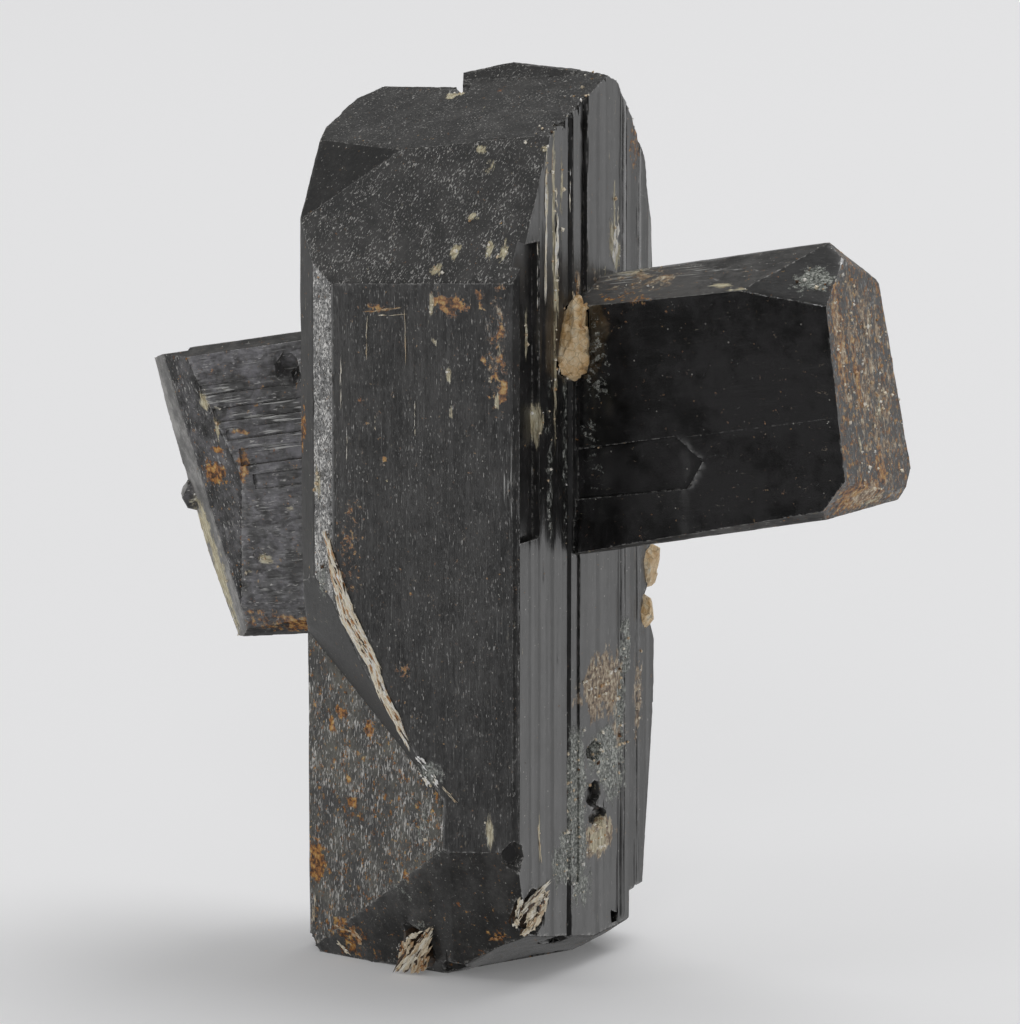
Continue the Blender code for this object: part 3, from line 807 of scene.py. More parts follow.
@effect(Position="Vector", Amount="Float")
def iron_stain(tree, given):
    """Rust that has soaked into a face: its colour and how much it covers."""
    reach = math_of(tree, "MULTIPLY_ADD", noise_of(tree, given["Position"], 4.5, 7.0, 0.75), 3.2, -1.6)
    reach = math_of(tree, "ADD", reach, given["Amount"])
    colour = ramp_of(
        tree, noise_of(tree, given["Position"], 5.0, 3.5, 0.6),
        (0.34, (0.040, 0.022, 0.012)), (0.43, (0.18, 0.070, 0.018)), (0.51, (0.48, 0.19, 0.035)),
        (0.60, (0.68, 0.38, 0.09)), (0.72, (0.76, 0.60, 0.32)))
    return {"Color": colour, "Cover": smooth_step(tree, reach, 0.46, 0.62)}


@effect(Position="Vector", Share="Float")
def rust_specks(tree, given):
    """Small separate specks of rust: their colour and how much they cover."""
    bend = add(tree, "TexNoise", {"Vector": given["Position"], "Scale": 6.0, "Detail": 3.0})["Color"]
    place = vector_of(tree, "ADD", given["Position"], scaled(tree, bend, 0.5))
    cells = add(tree, "TexVoronoi", {"Vector": place, "Scale": 4.6})
    chance = add(tree, "SeparateColor", {"Color": cells["Color"]})
    chosen = math_of(tree, "GREATER_THAN", chance["Green"], math_of(tree, "SUBTRACT", 1.0, given["Share"]))
    size = math_of(tree, "MULTIPLY_ADD", chance["Red"], 0.22, 0.12)
    inside = smooth_step(tree, math_of(tree, "SUBTRACT", size, cells["Distance"]), -0.04, 0.06)
    colour = ramp_of(
        tree, chance["Blue"], (0.10, (0.16, 0.060, 0.020)), (0.45, (0.40, 0.15, 0.040)),
        (0.70, (0.58, 0.31, 0.08)), (0.95, (0.60, 0.52, 0.30)))
    return {"Color": colour, "Cover": math_of(tree, "MULTIPLY", chosen, inside)}


@effect(Position="Vector", Stretch="Vector", Amount="Float")
def pale_crust(tree, given):
    """A thin crust of pale mica and clay: its shade, and how much it covers."""
    place = vector_of(tree, "MULTIPLY", given["Position"], given["Stretch"])
    reach = math_of(tree, "MULTIPLY_ADD", noise_of(tree, place, 1.0, 7.0, 0.78), 3.0, -1.5)
    reach = math_of(tree, "ADD", reach, given["Amount"])
    return {"Shade": noise_of(tree, place, 2.6, 4.0, 0.7), "Cover": smooth_step(tree, reach, 0.42, 0.70)}


@effect(Position="Vector", Edge="Float")
def wear_and_step_highlight(tree, given):
    """The broken pale line along an edge that has been rubbed, and the highlight painted along the arm's
    low step.
    """
    gaps = smooth_step(tree, noise_of(tree, given["Position"], 6.0, 5.0, 0.8), 0.45, 0.64)
    return {"Line": math_of(tree, "MULTIPLY", gaps, smooth_step(tree, given["Edge"], 0.55, 0.98))}


@effect(Position="Vector", Share="Float")
def fine_dust(tree, given):
    """Loose pale dust: tiny separate grains."""
    cells = add(tree, "TexVoronoi", {"Vector": given["Position"], "Scale": 11.0})
    chance = add(tree, "SeparateColor", {"Color": cells["Color"]})
    chosen = math_of(tree, "GREATER_THAN", chance["Blue"], math_of(tree, "SUBTRACT", 1.0, given["Share"]))
    return {"Grains": math_of(tree, "MULTIPLY", chosen, smooth_step(tree, cells["Distance"], 0.36, 0.20))}


# The index of refraction of the crystal's faces, of the bright slab and of the dull faces.
CRYSTAL_IOR = 2.2
BRIGHT_IOR = 2.7
BREAK_IOR = 1.5
DULL_ZONES = (
    "riser", "fracture", "dark_facet", "crown", "band", "corner_band", "slope", "stepped",
    "arm_bevel", "arm_shade", "left_bevel", "left_facet", "left_sliver",
)
# The colours of each crust, from its darkest to its palest parts.
CRUST_TONES = {
    "cream": ((0.30, (0.16, 0.13, 0.07)), (0.44, (0.46, 0.39, 0.24)),
              (0.56, (0.72, 0.66, 0.46)), (0.70, (0.88, 0.86, 0.72))),
    "chalk": ((0.36, (0.030, 0.034, 0.028)), (0.45, (0.12, 0.13, 0.115)),
              (0.54, (0.32, 0.335, 0.30)), (0.66, (0.74, 0.75, 0.70))),
    "tan": ((0.36, (0.06, 0.038, 0.022)), (0.45, (0.24, 0.155, 0.090)),
            (0.54, (0.48, 0.36, 0.23)), (0.66, (0.80, 0.73, 0.56))),
}
# How far each crust hides the crystal, and how it is drawn out on upright faces.
CRUSTS = {
    "chalk": (0.90, (4.6, 4.6, 3.8)),
    "tan": (0.92, (3.0, 2.4, 1.7)),
    "cream": (0.90, (5.0, 5.0, 0.9)),
}
# How far the etching leans on a face, in degrees.
LEANING = {"slope": -14.0, "stepped": -6.0}
# How threads and then etch flecks are drawn out on a face: per mm along X, Y and Z.
STANDING = ((26.0, 26.0, 1.0), (13.0, 13.0, 3.2))
LYING = ((1.0, 26.0, 26.0), (3.2, 13.0, 13.0))
GRAINED = ((22.0, 22.0, 22.0), (12.0, 12.0, 12.0))
SHORT_GRAIN = (GRAINED[0], (13.0, 13.0, 6.0))
FRONT_GRAIN = ((24.0, 24.0, 0.7), (20.0, 20.0, 5.0))
SLOPE_GRAIN = ((20.0, 20.0, 1.6), (19.0, 19.0, 6.0))
CROWN_GRAIN = (GRAINED[0], (15.0, 15.0, 15.0))
GLITTER_GRAIN = (GRAINED[0], (18.0, 18.0, 11.0))
CORNER_GRAIN = (GRAINED[0], (18.0, 18.0, 18.0))
STEPPED_GRAIN = (STANDING[0], (17.0, 17.0, 4.6))
END_GRAIN = (STANDING[0], (18.0, 18.0, 5.0))

# The finish of each zone: dark and light tone, roughness, threads and flecks, how much the pale
# streaks (a painted sheen) show, how much the painted glints show, their share, how far they lean,
# the share of dust, the bump's depth in mm, and how rusty the zone is all over.
FINISHES = {
    "front": (0.018, 0.050, 0.36, FRONT_GRAIN, 0.20, 0.46, 0.100, 0.08, 0.008, 0.004, 0.06),
    "slope": (0.026, 0.064, 0.46, SLOPE_GRAIN, 0.10, 0.62, 0.150, 0.10, 0.008, 0.005, 0.00),
    "crown": (0.024, 0.054, 0.46, CROWN_GRAIN, 0.04, 0.50, 0.120, 0.16, 0.010, 0.005, 0.02),
    "dark_facet": (0.014, 0.034, 0.36, GRAINED, 0.02, 0.34, 0.050, 0.10, 0.015, 0.003, 0.00),
    "band": (0.040, 0.066, 0.60, STANDING, 0.08, 0.20, 0.040, 0.06, 0.010, 0.003, 0.04),
    "glitter": (0.022, 0.080, 0.26, GLITTER_GRAIN, 0.05, 1.00, 0.230, 0.60, 0.010, 0.006, 0.08),
    "stepped": (0.042, 0.130, 0.40, STEPPED_GRAIN, 0.14, 0.74, 0.190, 0.20, 0.010, 0.005, 0.27),
    "riser": (0.010, 0.022, 0.44, GRAINED, 0.02, 0.14, 0.040, 0.06, 0.010, 0.003, 0.00),
    "fracture": (0.032, 0.076, 0.40, GRAINED, 0.03, 0.30, 0.060, 0.10, 0.010, 0.004, 0.10),
    "side": (0.012, 0.032, 0.30, STANDING, 0.12, 0.30, 0.030, 0.05, 0.010, 0.003, 0.00),
    "slab": (0.060, 0.110, 0.26, STANDING, 0.12, 0.20, 0.020, 0.04, 0.010, 0.003, 0.00),
    "left": (0.014, 0.030, 0.34, STANDING, 0.20, 0.40, 0.060, 0.10, 0.020, 0.004, 0.08),
    "back": (0.014, 0.032, 0.34, STANDING, 0.20, 0.40, 0.060, 0.10, 0.020, 0.004, 0.10),
    "corner_band": (0.010, 0.022, 0.50, STANDING, 0.10, 0.40, 0.040, 0.06, 0.010, 0.003, 0.00),
    "foot": (0.020, 0.040, 0.50, GRAINED, 0.04, 0.10, 0.040, 0.20, 0.050, 0.004, 0.20),
    "arm_front": (0.003, 0.026, 0.16, LYING, 0.03, 0.05, 0.010, 0.015, 0.006, 0.0006, 0.00),
    "arm_corner": (0.030, 0.070, 0.36, CORNER_GRAIN, 0.04, 0.90, 0.200, 0.24, 0.010, 0.006, 0.00),
    "arm_low_corner": (0.060, 0.150, 0.44, SHORT_GRAIN, 0.04, 0.50, 0.100, 0.34, 0.020, 0.006, 0.46),
    "arm_bevel": (0.028, 0.098, 0.46, LYING, 0.30, 0.36, 0.050, 0.08, 0.020, 0.004, 0.10),
    # The facet beside the right arm's bevel that lies in shade, painted darker than the bevel: painted
    # shade.
    "arm_shade": (0.006, 0.018, 0.50, LYING, 0.12, 0.20, 0.040, 0.06, 0.010, 0.003, 0.04),
    "arm_top": (0.018, 0.046, 0.34, LYING, 0.34, 0.30, 0.050, 0.12, 0.020, 0.004, 0.10),
    "arm_end": (0.005, 0.030, 0.44, END_GRAIN, 0.40, 0.62, 0.130, 0.20, 0.010, 0.006, 0.40),
    "arm_back": (0.012, 0.028, 0.30, LYING, 0.24, 0.30, 0.040, 0.08, 0.020, 0.003, 0.06),
    # On the left arm the light tones are raised well above the black crystal's: painted reflection of the
    # pale, bluish light its faces show.
    "left_front": (0.050, 0.230, 0.32, LYING, 0.55, 0.60, 0.080, 0.18, 0.015, 0.005, 0.10),
    "left_facet": (0.010, 0.150, 0.38, SHORT_GRAIN, 0.10, 0.50, 0.120, 0.20, 0.010, 0.006, 0.14),
    "left_bevel": (0.030, 0.090, 0.44, LYING, 0.20, 0.40, 0.040, 0.12, 0.020, 0.004, 0.10),
    "left_end": (0.080, 0.240, 0.34, STANDING, 0.30, 0.30, 0.060, 0.16, 0.020, 0.006, 0.06),
    "left_sliver": (0.100, 0.380, 0.44, SHORT_GRAIN, 0.05, 0.30, 0.060, 0.10, 0.010, 0.005, 0.02),
}
# How blue the light tone of a zone is, where it isn't a little warm; on the left arm the blue is a painted
# reflection.
TINTS_AND_REFLECTION_BLUE = {
    "stepped": 0.80, "left_front": 1.06, "left_facet": 1.02, "side": 0.98, "slab": 1.00, "arm_front": 1.00,
}
WARM_TINT = 0.93


def new_finish(name):
    """A new material with its shader tree, and the place of each point on the piece in mm."""
    material = bpy.data.materials.new(name)
    material.use_nodes = True
    tree = material.node_tree
    return material, tree, scaled(tree, add(tree, "TexCoord")["Object"], 1 / MM)


def feed_shader(tree, colour, roughness, normal, ior):
    """Give a material's shader its colour, roughness, normal and index of refraction."""
    sockets = tree.nodes["Principled BSDF"].inputs
    for name, feed in (("Base Color", colour), ("Roughness", roughness), ("Normal", normal)):
        tree.links.new(feed, sockets[name])
    sockets["IOR"].default_value = ior


def crystal_finish(zone):
    """The material of one zone of the crystal."""
    dark, light, rough, grain, streaks, painted_glints, share, lean, dust, depth, rusty = FINISHES[zone]
    stretch, flecks = grain
    material, tree, place = new_finish("tantalite_" + zone)
    lean_of_grain = LEANING.get(zone, 0.0) if zone in UPRIGHT_ZONES else ARM_TILT
    if lean_of_grain:
        turn = (0.0, math.radians(lean_of_grain), 0.0)
        place = add(tree, "Mapping", {"Vector": place, "Rotation": turn})[0]
    marks = {name: add(tree, "Attribute", attribute_name=name)["Fac"] for name in ("edge", *MARKS)}
    threads = use(tree, growth_threads, {"Position": place, "Stretch": stretch, "More": marks["painted_sheen"]})
    etched = use(tree, etch_and_painted_glints, {"Position": place, "Stretch": flecks, "Share": share, "Lean": lean})
    rust = math_of(tree, "ADD", marks["rust"], rusty)
    stain = use(tree, iron_stain, {"Position": place, "Amount": rust})
    specks = use(tree, rust_specks, {"Position": place, "Share": math_of(tree, "MULTIPLY", rust, 0.16)})
    worn = use(tree, wear_and_step_highlight, {"Position": place, "Edge": marks["edge"]})["Line"]
    grains = use(tree, fine_dust, {"Position": place, "Share": dust})["Grains"]

    clouds = math_of(tree, "MULTIPLY_ADD", marks["paler_tone"], 0.16, noise_of(tree, place, 0.8, 8.0, 0.74))
    blue = light * TINTS_AND_REFLECTION_BLUE.get(zone, WARM_TINT)
    colour = blend_of(
        tree, smooth_step(tree, clouds, 0.40, 0.68),
        (dark, dark * 0.98, dark * 0.95, 1.0), (light, light * 0.97, blue, 1.0))
    # The sheen marks strengthen the pale streaks: painted sheen.
    painted_sheen = math_of(tree, "MULTIPLY_ADD", marks["painted_sheen"], 0.9, streaks)
    layers = [
        (threads["Streaks"], painted_sheen, (0.52, 0.52, 0.50, 1.0)),
        # Pale strokes and specks painted into the colour as glints: painted highlights.
        (etched["PaintedGlints"], painted_glints, (0.90, 0.88, 0.84, 1.0)),
        (stain["Cover"], 0.80, stain["Color"]),
        (specks["Cover"], 0.85, specks["Color"]),
    ]
    crusted = stain["Cover"]
    for kind, (hiding, drawn_out) in CRUSTS.items():
        drawn_out = drawn_out[::-1] if grain == LYING else drawn_out
        crust = use(tree, pale_crust, {"Position": place, "Stretch": drawn_out, "Amount": marks[kind]})
        layers.append((crust["Cover"], hiding, ramp_of(tree, crust["Shade"], *CRUST_TONES[kind])))
        crusted = math_of(tree, "MAXIMUM", crusted, crust["Cover"])
    # The pale line along rubbed edges, with the painted highlight along the arm's low step, then the dust.
    layers += [(worn, 0.48, (0.66, 0.65, 0.62, 1.0)), (grains, 0.60, (0.66, 0.64, 0.58, 1.0))]
    for cover, hiding, over in layers:
        colour = blend_of(tree, math_of(tree, "MULTIPLY", cover, hiding), colour, over)
    roughness = math_of(tree, "MULTIPLY_ADD", threads["Height"], 0.16, rough - 0.08)
    roughness = math_of(tree, "MAXIMUM", roughness, math_of(tree, "MULTIPLY", crusted, 0.75))
    height = math_of(tree, "MULTIPLY_ADD", etched["Height"], 0.8, threads["Height"])
    height = math_of(tree, "MULTIPLY_ADD", crusted, 1.2, height)
    bump = add(tree, "Bump", {
        "Height": height, "Distance": depth * MM, "Strength": 1.0, "Normal": etched["Normal"]})["Normal"]
    ior = BREAK_IOR if zone in DULL_ZONES else BRIGHT_IOR if zone == "slab" else CRYSTAL_IOR
    feed_shader(tree, colour, roughness, bump, ior)
    return material


crystal = divided_crystal()
crumb_spots = shape_crystal(crystal)
for face in crystal.faces:
    face.smooth = ZONES[face.material_index] not in SPARKLING
bmesh.ops.triangulate(crystal, faces=[face for face in crystal.faces if len(face.verts) > 4])
black_crystal = finished_piece("tantalite_cross", crystal, [crystal_finish(zone) for zone in ZONES])
black_crystal.data.set_sharp_from_angle(angle=math.radians(32.0))
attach(black_crystal, "root")
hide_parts("crystal_cross")

# The grains of feldspar and mica.
# The real grains grew against the crystal and are held in it by their faces. They are tan
# feldspar, which breaks in glossy steps, and brown mica, which splits in thin leaves.
FELDSPAR_IOR, MICA_IOR = 1.55, 1.58
# The gap that the solids keep round each grain, in mm.
SEAT_GAP = 0.10
# The dark core of each mica flake is a little smaller than the flake and lies behind its blades.
FLAKE_CORE, CORE_TONE = 0.86, 0.05
SUNK = {"mica_flake_foot": Vector((0.0, 0.24, 0.0)), "mica_flake_corner": Vector((-0.44, 0.20, 0.0))}
# How finely each grain of feldspar is divided, and how rough its breaks are, in mm.
FELDSPAR_GRAINS = {
    "feldspar_grain": (13, 0.12), "edge_grain_upper": (8, 0.06), "edge_grain_lower": (8, 0.06),
}
# The blades of each mica flake: start, end, half width, tone, and how many leaves.
MICA_FLAKES = {
    "mica_flake_foot": (
        ((0.00, -3.98, 0.14), (1.14, -3.93, 1.62), 0.07, 0.62, 70),
        ((0.22, -3.96, 0.12), (1.12, -3.92, 1.34), 0.09, 0.70, 60),
        ((0.52, -3.93, 0.12), (1.08, -3.90, 1.00), 0.09, 0.52, 50),
        ((0.80, -3.90, 0.14), (1.08, -3.88, 0.70), 0.08, 0.44, 26),
        ((0.12, -3.96, 0.62), (0.46, -3.98, 1.22), 0.12, 0.46, 44),
        ((0.02, -3.95, 0.80), (0.16, -3.95, 1.14), 0.07, 0.36, 16),
        ((0.30, -4.00, 1.30), (0.84, -3.98, 1.56), 0.05, 0.70, 14),
        ((0.98, -4.00, 1.42), (1.10, -4.00, 1.62), 0.04, 0.16, 10),
    ),
    "mica_flake_corner": (
        ((5.22, -4.16, 2.98), (5.22, -2.62, 3.50), 0.10, 0.72, 60),
        ((5.36, -4.14, 2.72), (5.32, -2.80, 3.24), 0.13, 0.66, 70),
        ((5.44, -4.06, 2.42), (5.42, -3.10, 2.90), 0.13, 0.56, 60),
        ((5.16, -4.12, 2.14), (5.40, -3.60, 2.50), 0.09, 0.62, 34),
        ((5.48, -3.70, 2.90), (5.42, -3.14, 3.14), 0.05, 0.10, 18),
        ((4.84, -4.30, 2.38), (4.98, -4.32, 2.66), 0.08, 0.68, 20),
        ((5.04, -4.34, 2.66), (5.20, -4.24, 3.36), 0.10, 0.72, 50),
    ),
}


def grain_finish(name, stops, leaves, roughness):
    """A light mineral: cloudy tones, thin leaves or cracks, and a little gloss."""
    material, tree, place = new_finish(name)
    tone = noise_of(tree, vector_of(tree, "MULTIPLY", place, leaves), 1.0, 6.0, 0.68)
    cells = add(tree, "TexVoronoi", {"Vector": place, "Scale": 3.2}, feature="DISTANCE_TO_EDGE")
    # Darker along the cracks, the edges of the cells.
    crack_darkening = math_of(tree, "MULTIPLY", smooth_step(tree, cells["Distance"], 0.05, 0.0), 0.35)
    colour = blend_of(tree, crack_darkening, ramp_of(tree, tone, *stops), (0.09, 0.05, 0.025, 1.0))
    height = math_of(tree, "MULTIPLY_ADD", smooth_step(tree, cells["Distance"], 0.0, 0.08), 0.3, tone)
    bump = add(tree, "Bump", {"Height": height, "Distance": 0.03 * MM, "Strength": 1.0})["Normal"]
    gloss = math_of(tree, "MULTIPLY_ADD", tone, 0.5, roughness - 0.25)
    feed_shader(tree, colour, gloss, bump, FELDSPAR_IOR)
    return material


def add_leaf(solid, tones, middle, along, out, length, width, thick, tone):
    """Add one leaf: a thin blade pointed at both ends, with its own tone."""
    along = along.normalized()
    across = out.cross(along).normalized()
    out = along.cross(across)
    ring = [across * width, out * thick, across * -width, out * -thick]
    ends = [solid.verts.new(middle + along * reach) for reach in (-0.5 * length, 0.5 * length)]
    ring = [solid.verts.new(middle + side + along * length * 0.12 * turn)
            for side, turn in zip(ring, (1, 0, -1, 0))]
    for corner in ends + ring:
        corner[tones] = tone
    for one, two in zip(ring, ring[1:] + ring[:1]):
        solid.faces.new((ends[0], two, one))
        solid.faces.new((ends[1], one, two))


def mineral_finish(name, stops, roughness):
    """Small pale minerals: each leaf or crumb has its own tone."""
    material, tree, place = new_finish(name)
    cloud = noise_of(tree, place, 8.0, 4.0, 0.7)
    tone = add(tree, "Attribute", attribute_name="tone")["Fac"]
    tone = math_of(tree, "MULTIPLY_ADD", math_of(tree, "SUBTRACT", cloud, 0.5), 0.5, tone)
    bump = add(tree, "Bump", {"Height": cloud, "Distance": 0.02 * MM, "Strength": 1.0})["Normal"]
    gloss = math_of(tree, "MULTIPLY_ADD", cloud, 0.4, roughness - 0.2)
    feed_shader(tree, ramp_of(tree, tone, *stops), gloss, bump, MICA_IOR)
    return material


MINERAL_TONES = (
    (0.00, (0.020, 0.015, 0.010)), (0.14, (0.10, 0.055, 0.030)), (0.26, (0.50, 0.20, 0.045)),
    (0.40, (0.56, 0.37, 0.20)), (0.54, (0.80, 0.67, 0.48)), (0.70, (0.92, 0.84, 0.67)),
    (1.00, (0.96, 0.96, 0.95)))
mineral_leaves = mineral_finish("mica_leaves", MINERAL_TONES, 0.38)

tan_feldspar = grain_finish(
    "tan_feldspar", ((0.28, (0.36, 0.19, 0.075)), (0.42, (0.66, 0.43, 0.20)),
                     (0.56, (0.82, 0.64, 0.40)), (0.74, (0.90, 0.84, 0.70))), (2.4, 2.4, 1.8), 0.38)


def packed_grain(name):
    """A packed grain, grown back by the gap that the solids keep round it."""
    grain = packed_solid(name)
    grain.normal_update()
    for corner, away in [(corner, corner.normal.copy()) for corner in grain.verts]:
        corner.co += away * SEAT_GAP * 1.1
    grain.normal_update()
    return grain


for name, (cuts, rough_size) in FELDSPAR_GRAINS.items():
    grain = packed_grain(name)
    bmesh.ops.subdivide_edges(grain, edges=grain.edges[:], cuts=cuts, use_grid_fill=True)
    grain.normal_update()
    for corner, away in [(corner, corner.normal.copy()) for corner in grain.verts]:
        p = corner.co
        broken = noise.voronoi(p * 2.2)[1][0]
        slope = (p - broken / 2.2).dot(noise.cell_vector(broken * 5.0))
        lift = 0.8 * noise.cell(broken * 7.0) + slope * 1.6
        corner.co += away * rough_size * (lift + 0.3 * noise.noise(p * 4.5) - 0.3)
    piece = finished_piece(name + "_surface", grain, [tan_feldspar])
    piece.data.set_sharp_from_angle(angle=math.radians(30.0))
    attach(piece, "root")
    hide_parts(name)

chance = random.Random(29)
for name, blades in MICA_FLAKES.items():
    core = packed_grain(name)
    tones = core.verts.layers.float.new("tone")
    heart = sum((corner.co for corner in core.verts), Vector()) / len(core.verts)
    for corner in core.verts:
        corner.co = heart.lerp(corner.co, FLAKE_CORE) + SUNK[name]
        corner.co.z = max(corner.co.z, 0.02)
        corner[tones] = CORE_TONE
    for first, last, half, tone, count in blades:
        first, last = Vector(first), Vector(last)
        along = (last - first).normalized()
        away = Vector((0.9, -0.3, 0.2)) if first.x > 5.0 else Vector((0.1, -1.0, 0.1))
        across = away.cross(along).normalized()
        for _ in range(count):
            length = (last - first).length * chance.uniform(0.20, 0.55)
            share = chance.uniform(0.0, 1.0)
            middle = first.lerp(last, share) + across * chance.uniform(-half, half)
            middle -= away * chance.uniform(0.0, 0.16)
            middle.z = max(middle.z, 0.04 + 0.5 * length * abs(along.z))
            lean = along + across * chance.uniform(-0.12, 0.12) + away * chance.uniform(-0.12, 0.12)
            out = away + Vector(chance.uniform(-0.45, 0.45) for _ in range(3))
            shade = tone + chance.uniform(-0.16, 0.16) if chance.random() < 0.86 else 0.10
            add_leaf(
                core, tones, middle, lean, out, length, chance.uniform(0.03, 0.09), 0.02, max(0.02, shade))
    piece = finished_piece(name + "_leaves", core, [mineral_leaves])
    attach(piece, "root")
    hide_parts(name)

# The seam of mica along the slanting ledge.
# The real seam is a ribbon of pale mica and clay that fills the edge of the ledge. It is made
# of hundreds of thin leaves that lie along it, wide at its upper end and fading out below.
SEAM = [
    ((-2.45, -4.62, 15.30), 0.05),
    ((-2.34, -4.65, 15.05), 0.14),
    ((-2.17, -4.70, 14.50), 0.24),
    ((-1.83, -4.70, 13.55), 0.33),
    ((-1.55, -4.70, 12.70), 0.46),
    ((-1.07, -4.70, 11.90), 0.40),
    ((-0.54, -4.70, 11.10), 0.32),
    ((-0.34, -4.70, 10.50), 0.24),
    ((-0.07, -4.70, 9.95), 0.24),
    ((0.29, -4.70, 9.42), 0.20),
    ((0.61, -4.70, 8.85), 0.13),
    ((0.78, -4.70, 8.50), 0.04),
]
# Short threads of the same minerals elsewhere: start, end, width, tone, and how many leaves.
THREADS = [
    ((1.22, -4.73, 8.06), (1.66, -4.73, 7.66), 0.10, 1.00, 14),
    ((1.35, -4.60, 7.46), (1.62, -4.60, 7.00), 0.12, 0.94, 10),
    ((1.80, -4.71, 7.42), (2.12, -4.71, 7.06), 0.10, 0.88, 12),
    ((2.30, -4.71, 7.02), (2.86, -4.71, 6.50), 0.04, 0.66, 12),
    ((-0.70, -4.71, 23.33), (0.50, -4.71, 23.55), 0.03, 0.50, 14),
    ((-0.73, -4.71, 23.20), (-0.76, -4.71, 21.63), 0.022, 0.72, 8),
    ((0.78, -4.71, 23.30), (0.81, -4.71, 21.40), 0.020, 0.60, 7),
    ((-0.70, -4.71, 23.19), (0.70, -4.71, 23.33), 0.020, 0.66, 5),
    ((1.17, -4.71, 20.29), (1.17, -4.71, 19.19), 0.012, 0.82, 7),
    ((-0.42, -4.71, 19.75), (-0.42, -4.71, 19.27), 0.012, 0.78, 4),
    ((-1.78, -4.71, 21.86), (-1.79, -4.71, 20.03), 0.020, 0.84, 8),
    ((-1.55, -4.71, 19.25), (-1.56, -4.71, 18.03), 0.020, 0.86, 7),
    ((5.15, -3.22, 5.85), (5.15, -2.96, 4.45), 0.03, 0.60, 10),
    ((5.16, -2.69, 29.00), (5.16, -2.69, 27.90), 0.05, 0.68, 10),
    ((5.16, -2.69, 28.10), (5.16, -2.70, 26.70), 0.08, 0.84, 18),
    ((5.16, -2.70, 26.90), (5.16, -2.72, 24.00), 0.06, 0.80, 22),
    ((5.08, -0.90, 28.20), (5.08, -0.90, 26.80), 0.05, 0.84, 14),
    ((5.13, -1.92, 27.50), (5.13, -1.92, 26.60), 0.04, 0.74, 8),
    ((5.13, -1.86, 26.60), (5.13, -1.92, 24.80), 0.11, 0.90, 30),
    ((5.10, -2.16, 25.20), (5.10, -2.18, 23.90), 0.06, 0.80, 10),
    ((5.16, 2.36, 26.50), (5.16, 2.28, 25.60), 0.06, 0.82, 12),
    ((5.16, 2.26, 25.80), (5.16, 2.10, 24.70), 0.16, 0.92, 34),
    ((5.16, 1.86, 26.00), (5.16, 1.90, 25.20), 0.04, 0.78, 6),
    ((5.03, -3.04, 25.70), (5.03, -3.04, 23.80), 0.02, 0.78, 10),
    ((5.16, -0.60, 24.40), (5.16, -0.54, 23.80), 0.06, 0.34, 8),
    ((5.22, -0.95, 23.20), (5.20, -0.80, 24.05), 0.10, 0.72, 14),
    ((5.14, -1.50, 21.90), (5.12, -1.85, 21.05), 0.12, 0.74, 14),
    ((5.36, -0.40, 22.00), (5.40, -0.24, 21.15), 0.09, 0.76, 10),
    ((3.60, -3.84, 1.66), (4.20, -3.88, 1.86), 0.05, 0.34, 18),
    ((-2.36, -3.27, 1.22), (-1.92, -3.24, 0.74), 0.15, 0.42, 40),
    ((-3.10, -2.99, 0.50), (-2.60, -2.99, 0.14), 0.06, 0.72, 20),
    ((-3.16, -3.11, 1.14), (-2.45, -3.25, 1.04), 0.05, 0.52, 16),
    ((-4.18, -2.79, 1.95), (-4.24, -2.77, 1.10), 0.05, 0.66, 12),
    ((-3.30, -3.06, 1.90), (-3.26, -3.06, 1.55), 0.05, 0.46, 10),
    ((-0.42, -3.40, 0.70), (-0.26, -3.42, 0.90), 0.06, 0.98, 8),
]

chance = random.Random(17)
seam = bmesh.new()
tones = seam.verts.layers.float.new("tone")
seam_points = [Vector(point) for point, _ in SEAM]
for step in range(len(SEAM) - 1):
    start, end = seam_points[step], seam_points[step + 1]
    along = (end - start).normalized()
    across = Vector((-along.z, 0.0, along.x))
    for _ in range(int(520 * (0.06 + SEAM[step][1]) * (end - start).length)):
        share = chance.random()
        half = 0.64 * (SEAM[step][1] * (1.0 - share) + SEAM[step + 1][1] * share)
        side = chance.uniform(-1.0, 1.0)
        middle = start.lerp(end, share) - across * half * side
        middle.y = FRONT + 0.348 * max(0.0, -2.18 - middle.x) - chance.uniform(-0.01, 0.05)
        lean = along + across * chance.uniform(-0.14, 0.14)
        lean += Vector((0.0, chance.uniform(-0.05, 0.05), 0.0))
        out = Vector((chance.uniform(-0.6, 0.6), -1.0, chance.uniform(-0.5, 0.5))).normalized()
        dark = 0.22 if abs(side) < 0.40 and 1 < step < 8 else 0.06
        kind = chance.random()
        tone = 0.07 if kind < dark else 0.34 if kind < dark + 0.12 else chance.uniform(0.56, 0.94)
        tone += chance.uniform(-0.05, 0.05)
        add_leaf(seam, tones, middle, lean, out, chance.uniform(0.30, 0.9), chance.uniform(0.02, 0.06),
                 chance.uniform(0.015, 0.04), max(0.0, min(1.0, tone)))
for first, last, width, tone, count in THREADS:
    first, last = Vector(first), Vector(last)
    along = (last - first).normalized()
    out = Vector((1.0, 0.0, 0.0)) if first.x > 5.0 else Vector((0.0, -1.0, 0.0))
    across = out.cross(along)
    for _ in range(count):
        middle = first.lerp(last, chance.random()) + across * chance.uniform(-width, width)
        length = (last - first).length * chance.uniform(0.16, 0.42)
        lean = along + across * chance.uniform(-0.10, 0.10)
        add_leaf(seam, tones, middle, lean, out, length, max(0.012, width * chance.uniform(0.2, 0.5)),
                 0.02, max(0.0, min(1.0, tone + chance.uniform(-0.15, 0.12))))
mica_seam = finished_piece("mica_seam", seam, [mineral_leaves])
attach(mica_seam, "root")

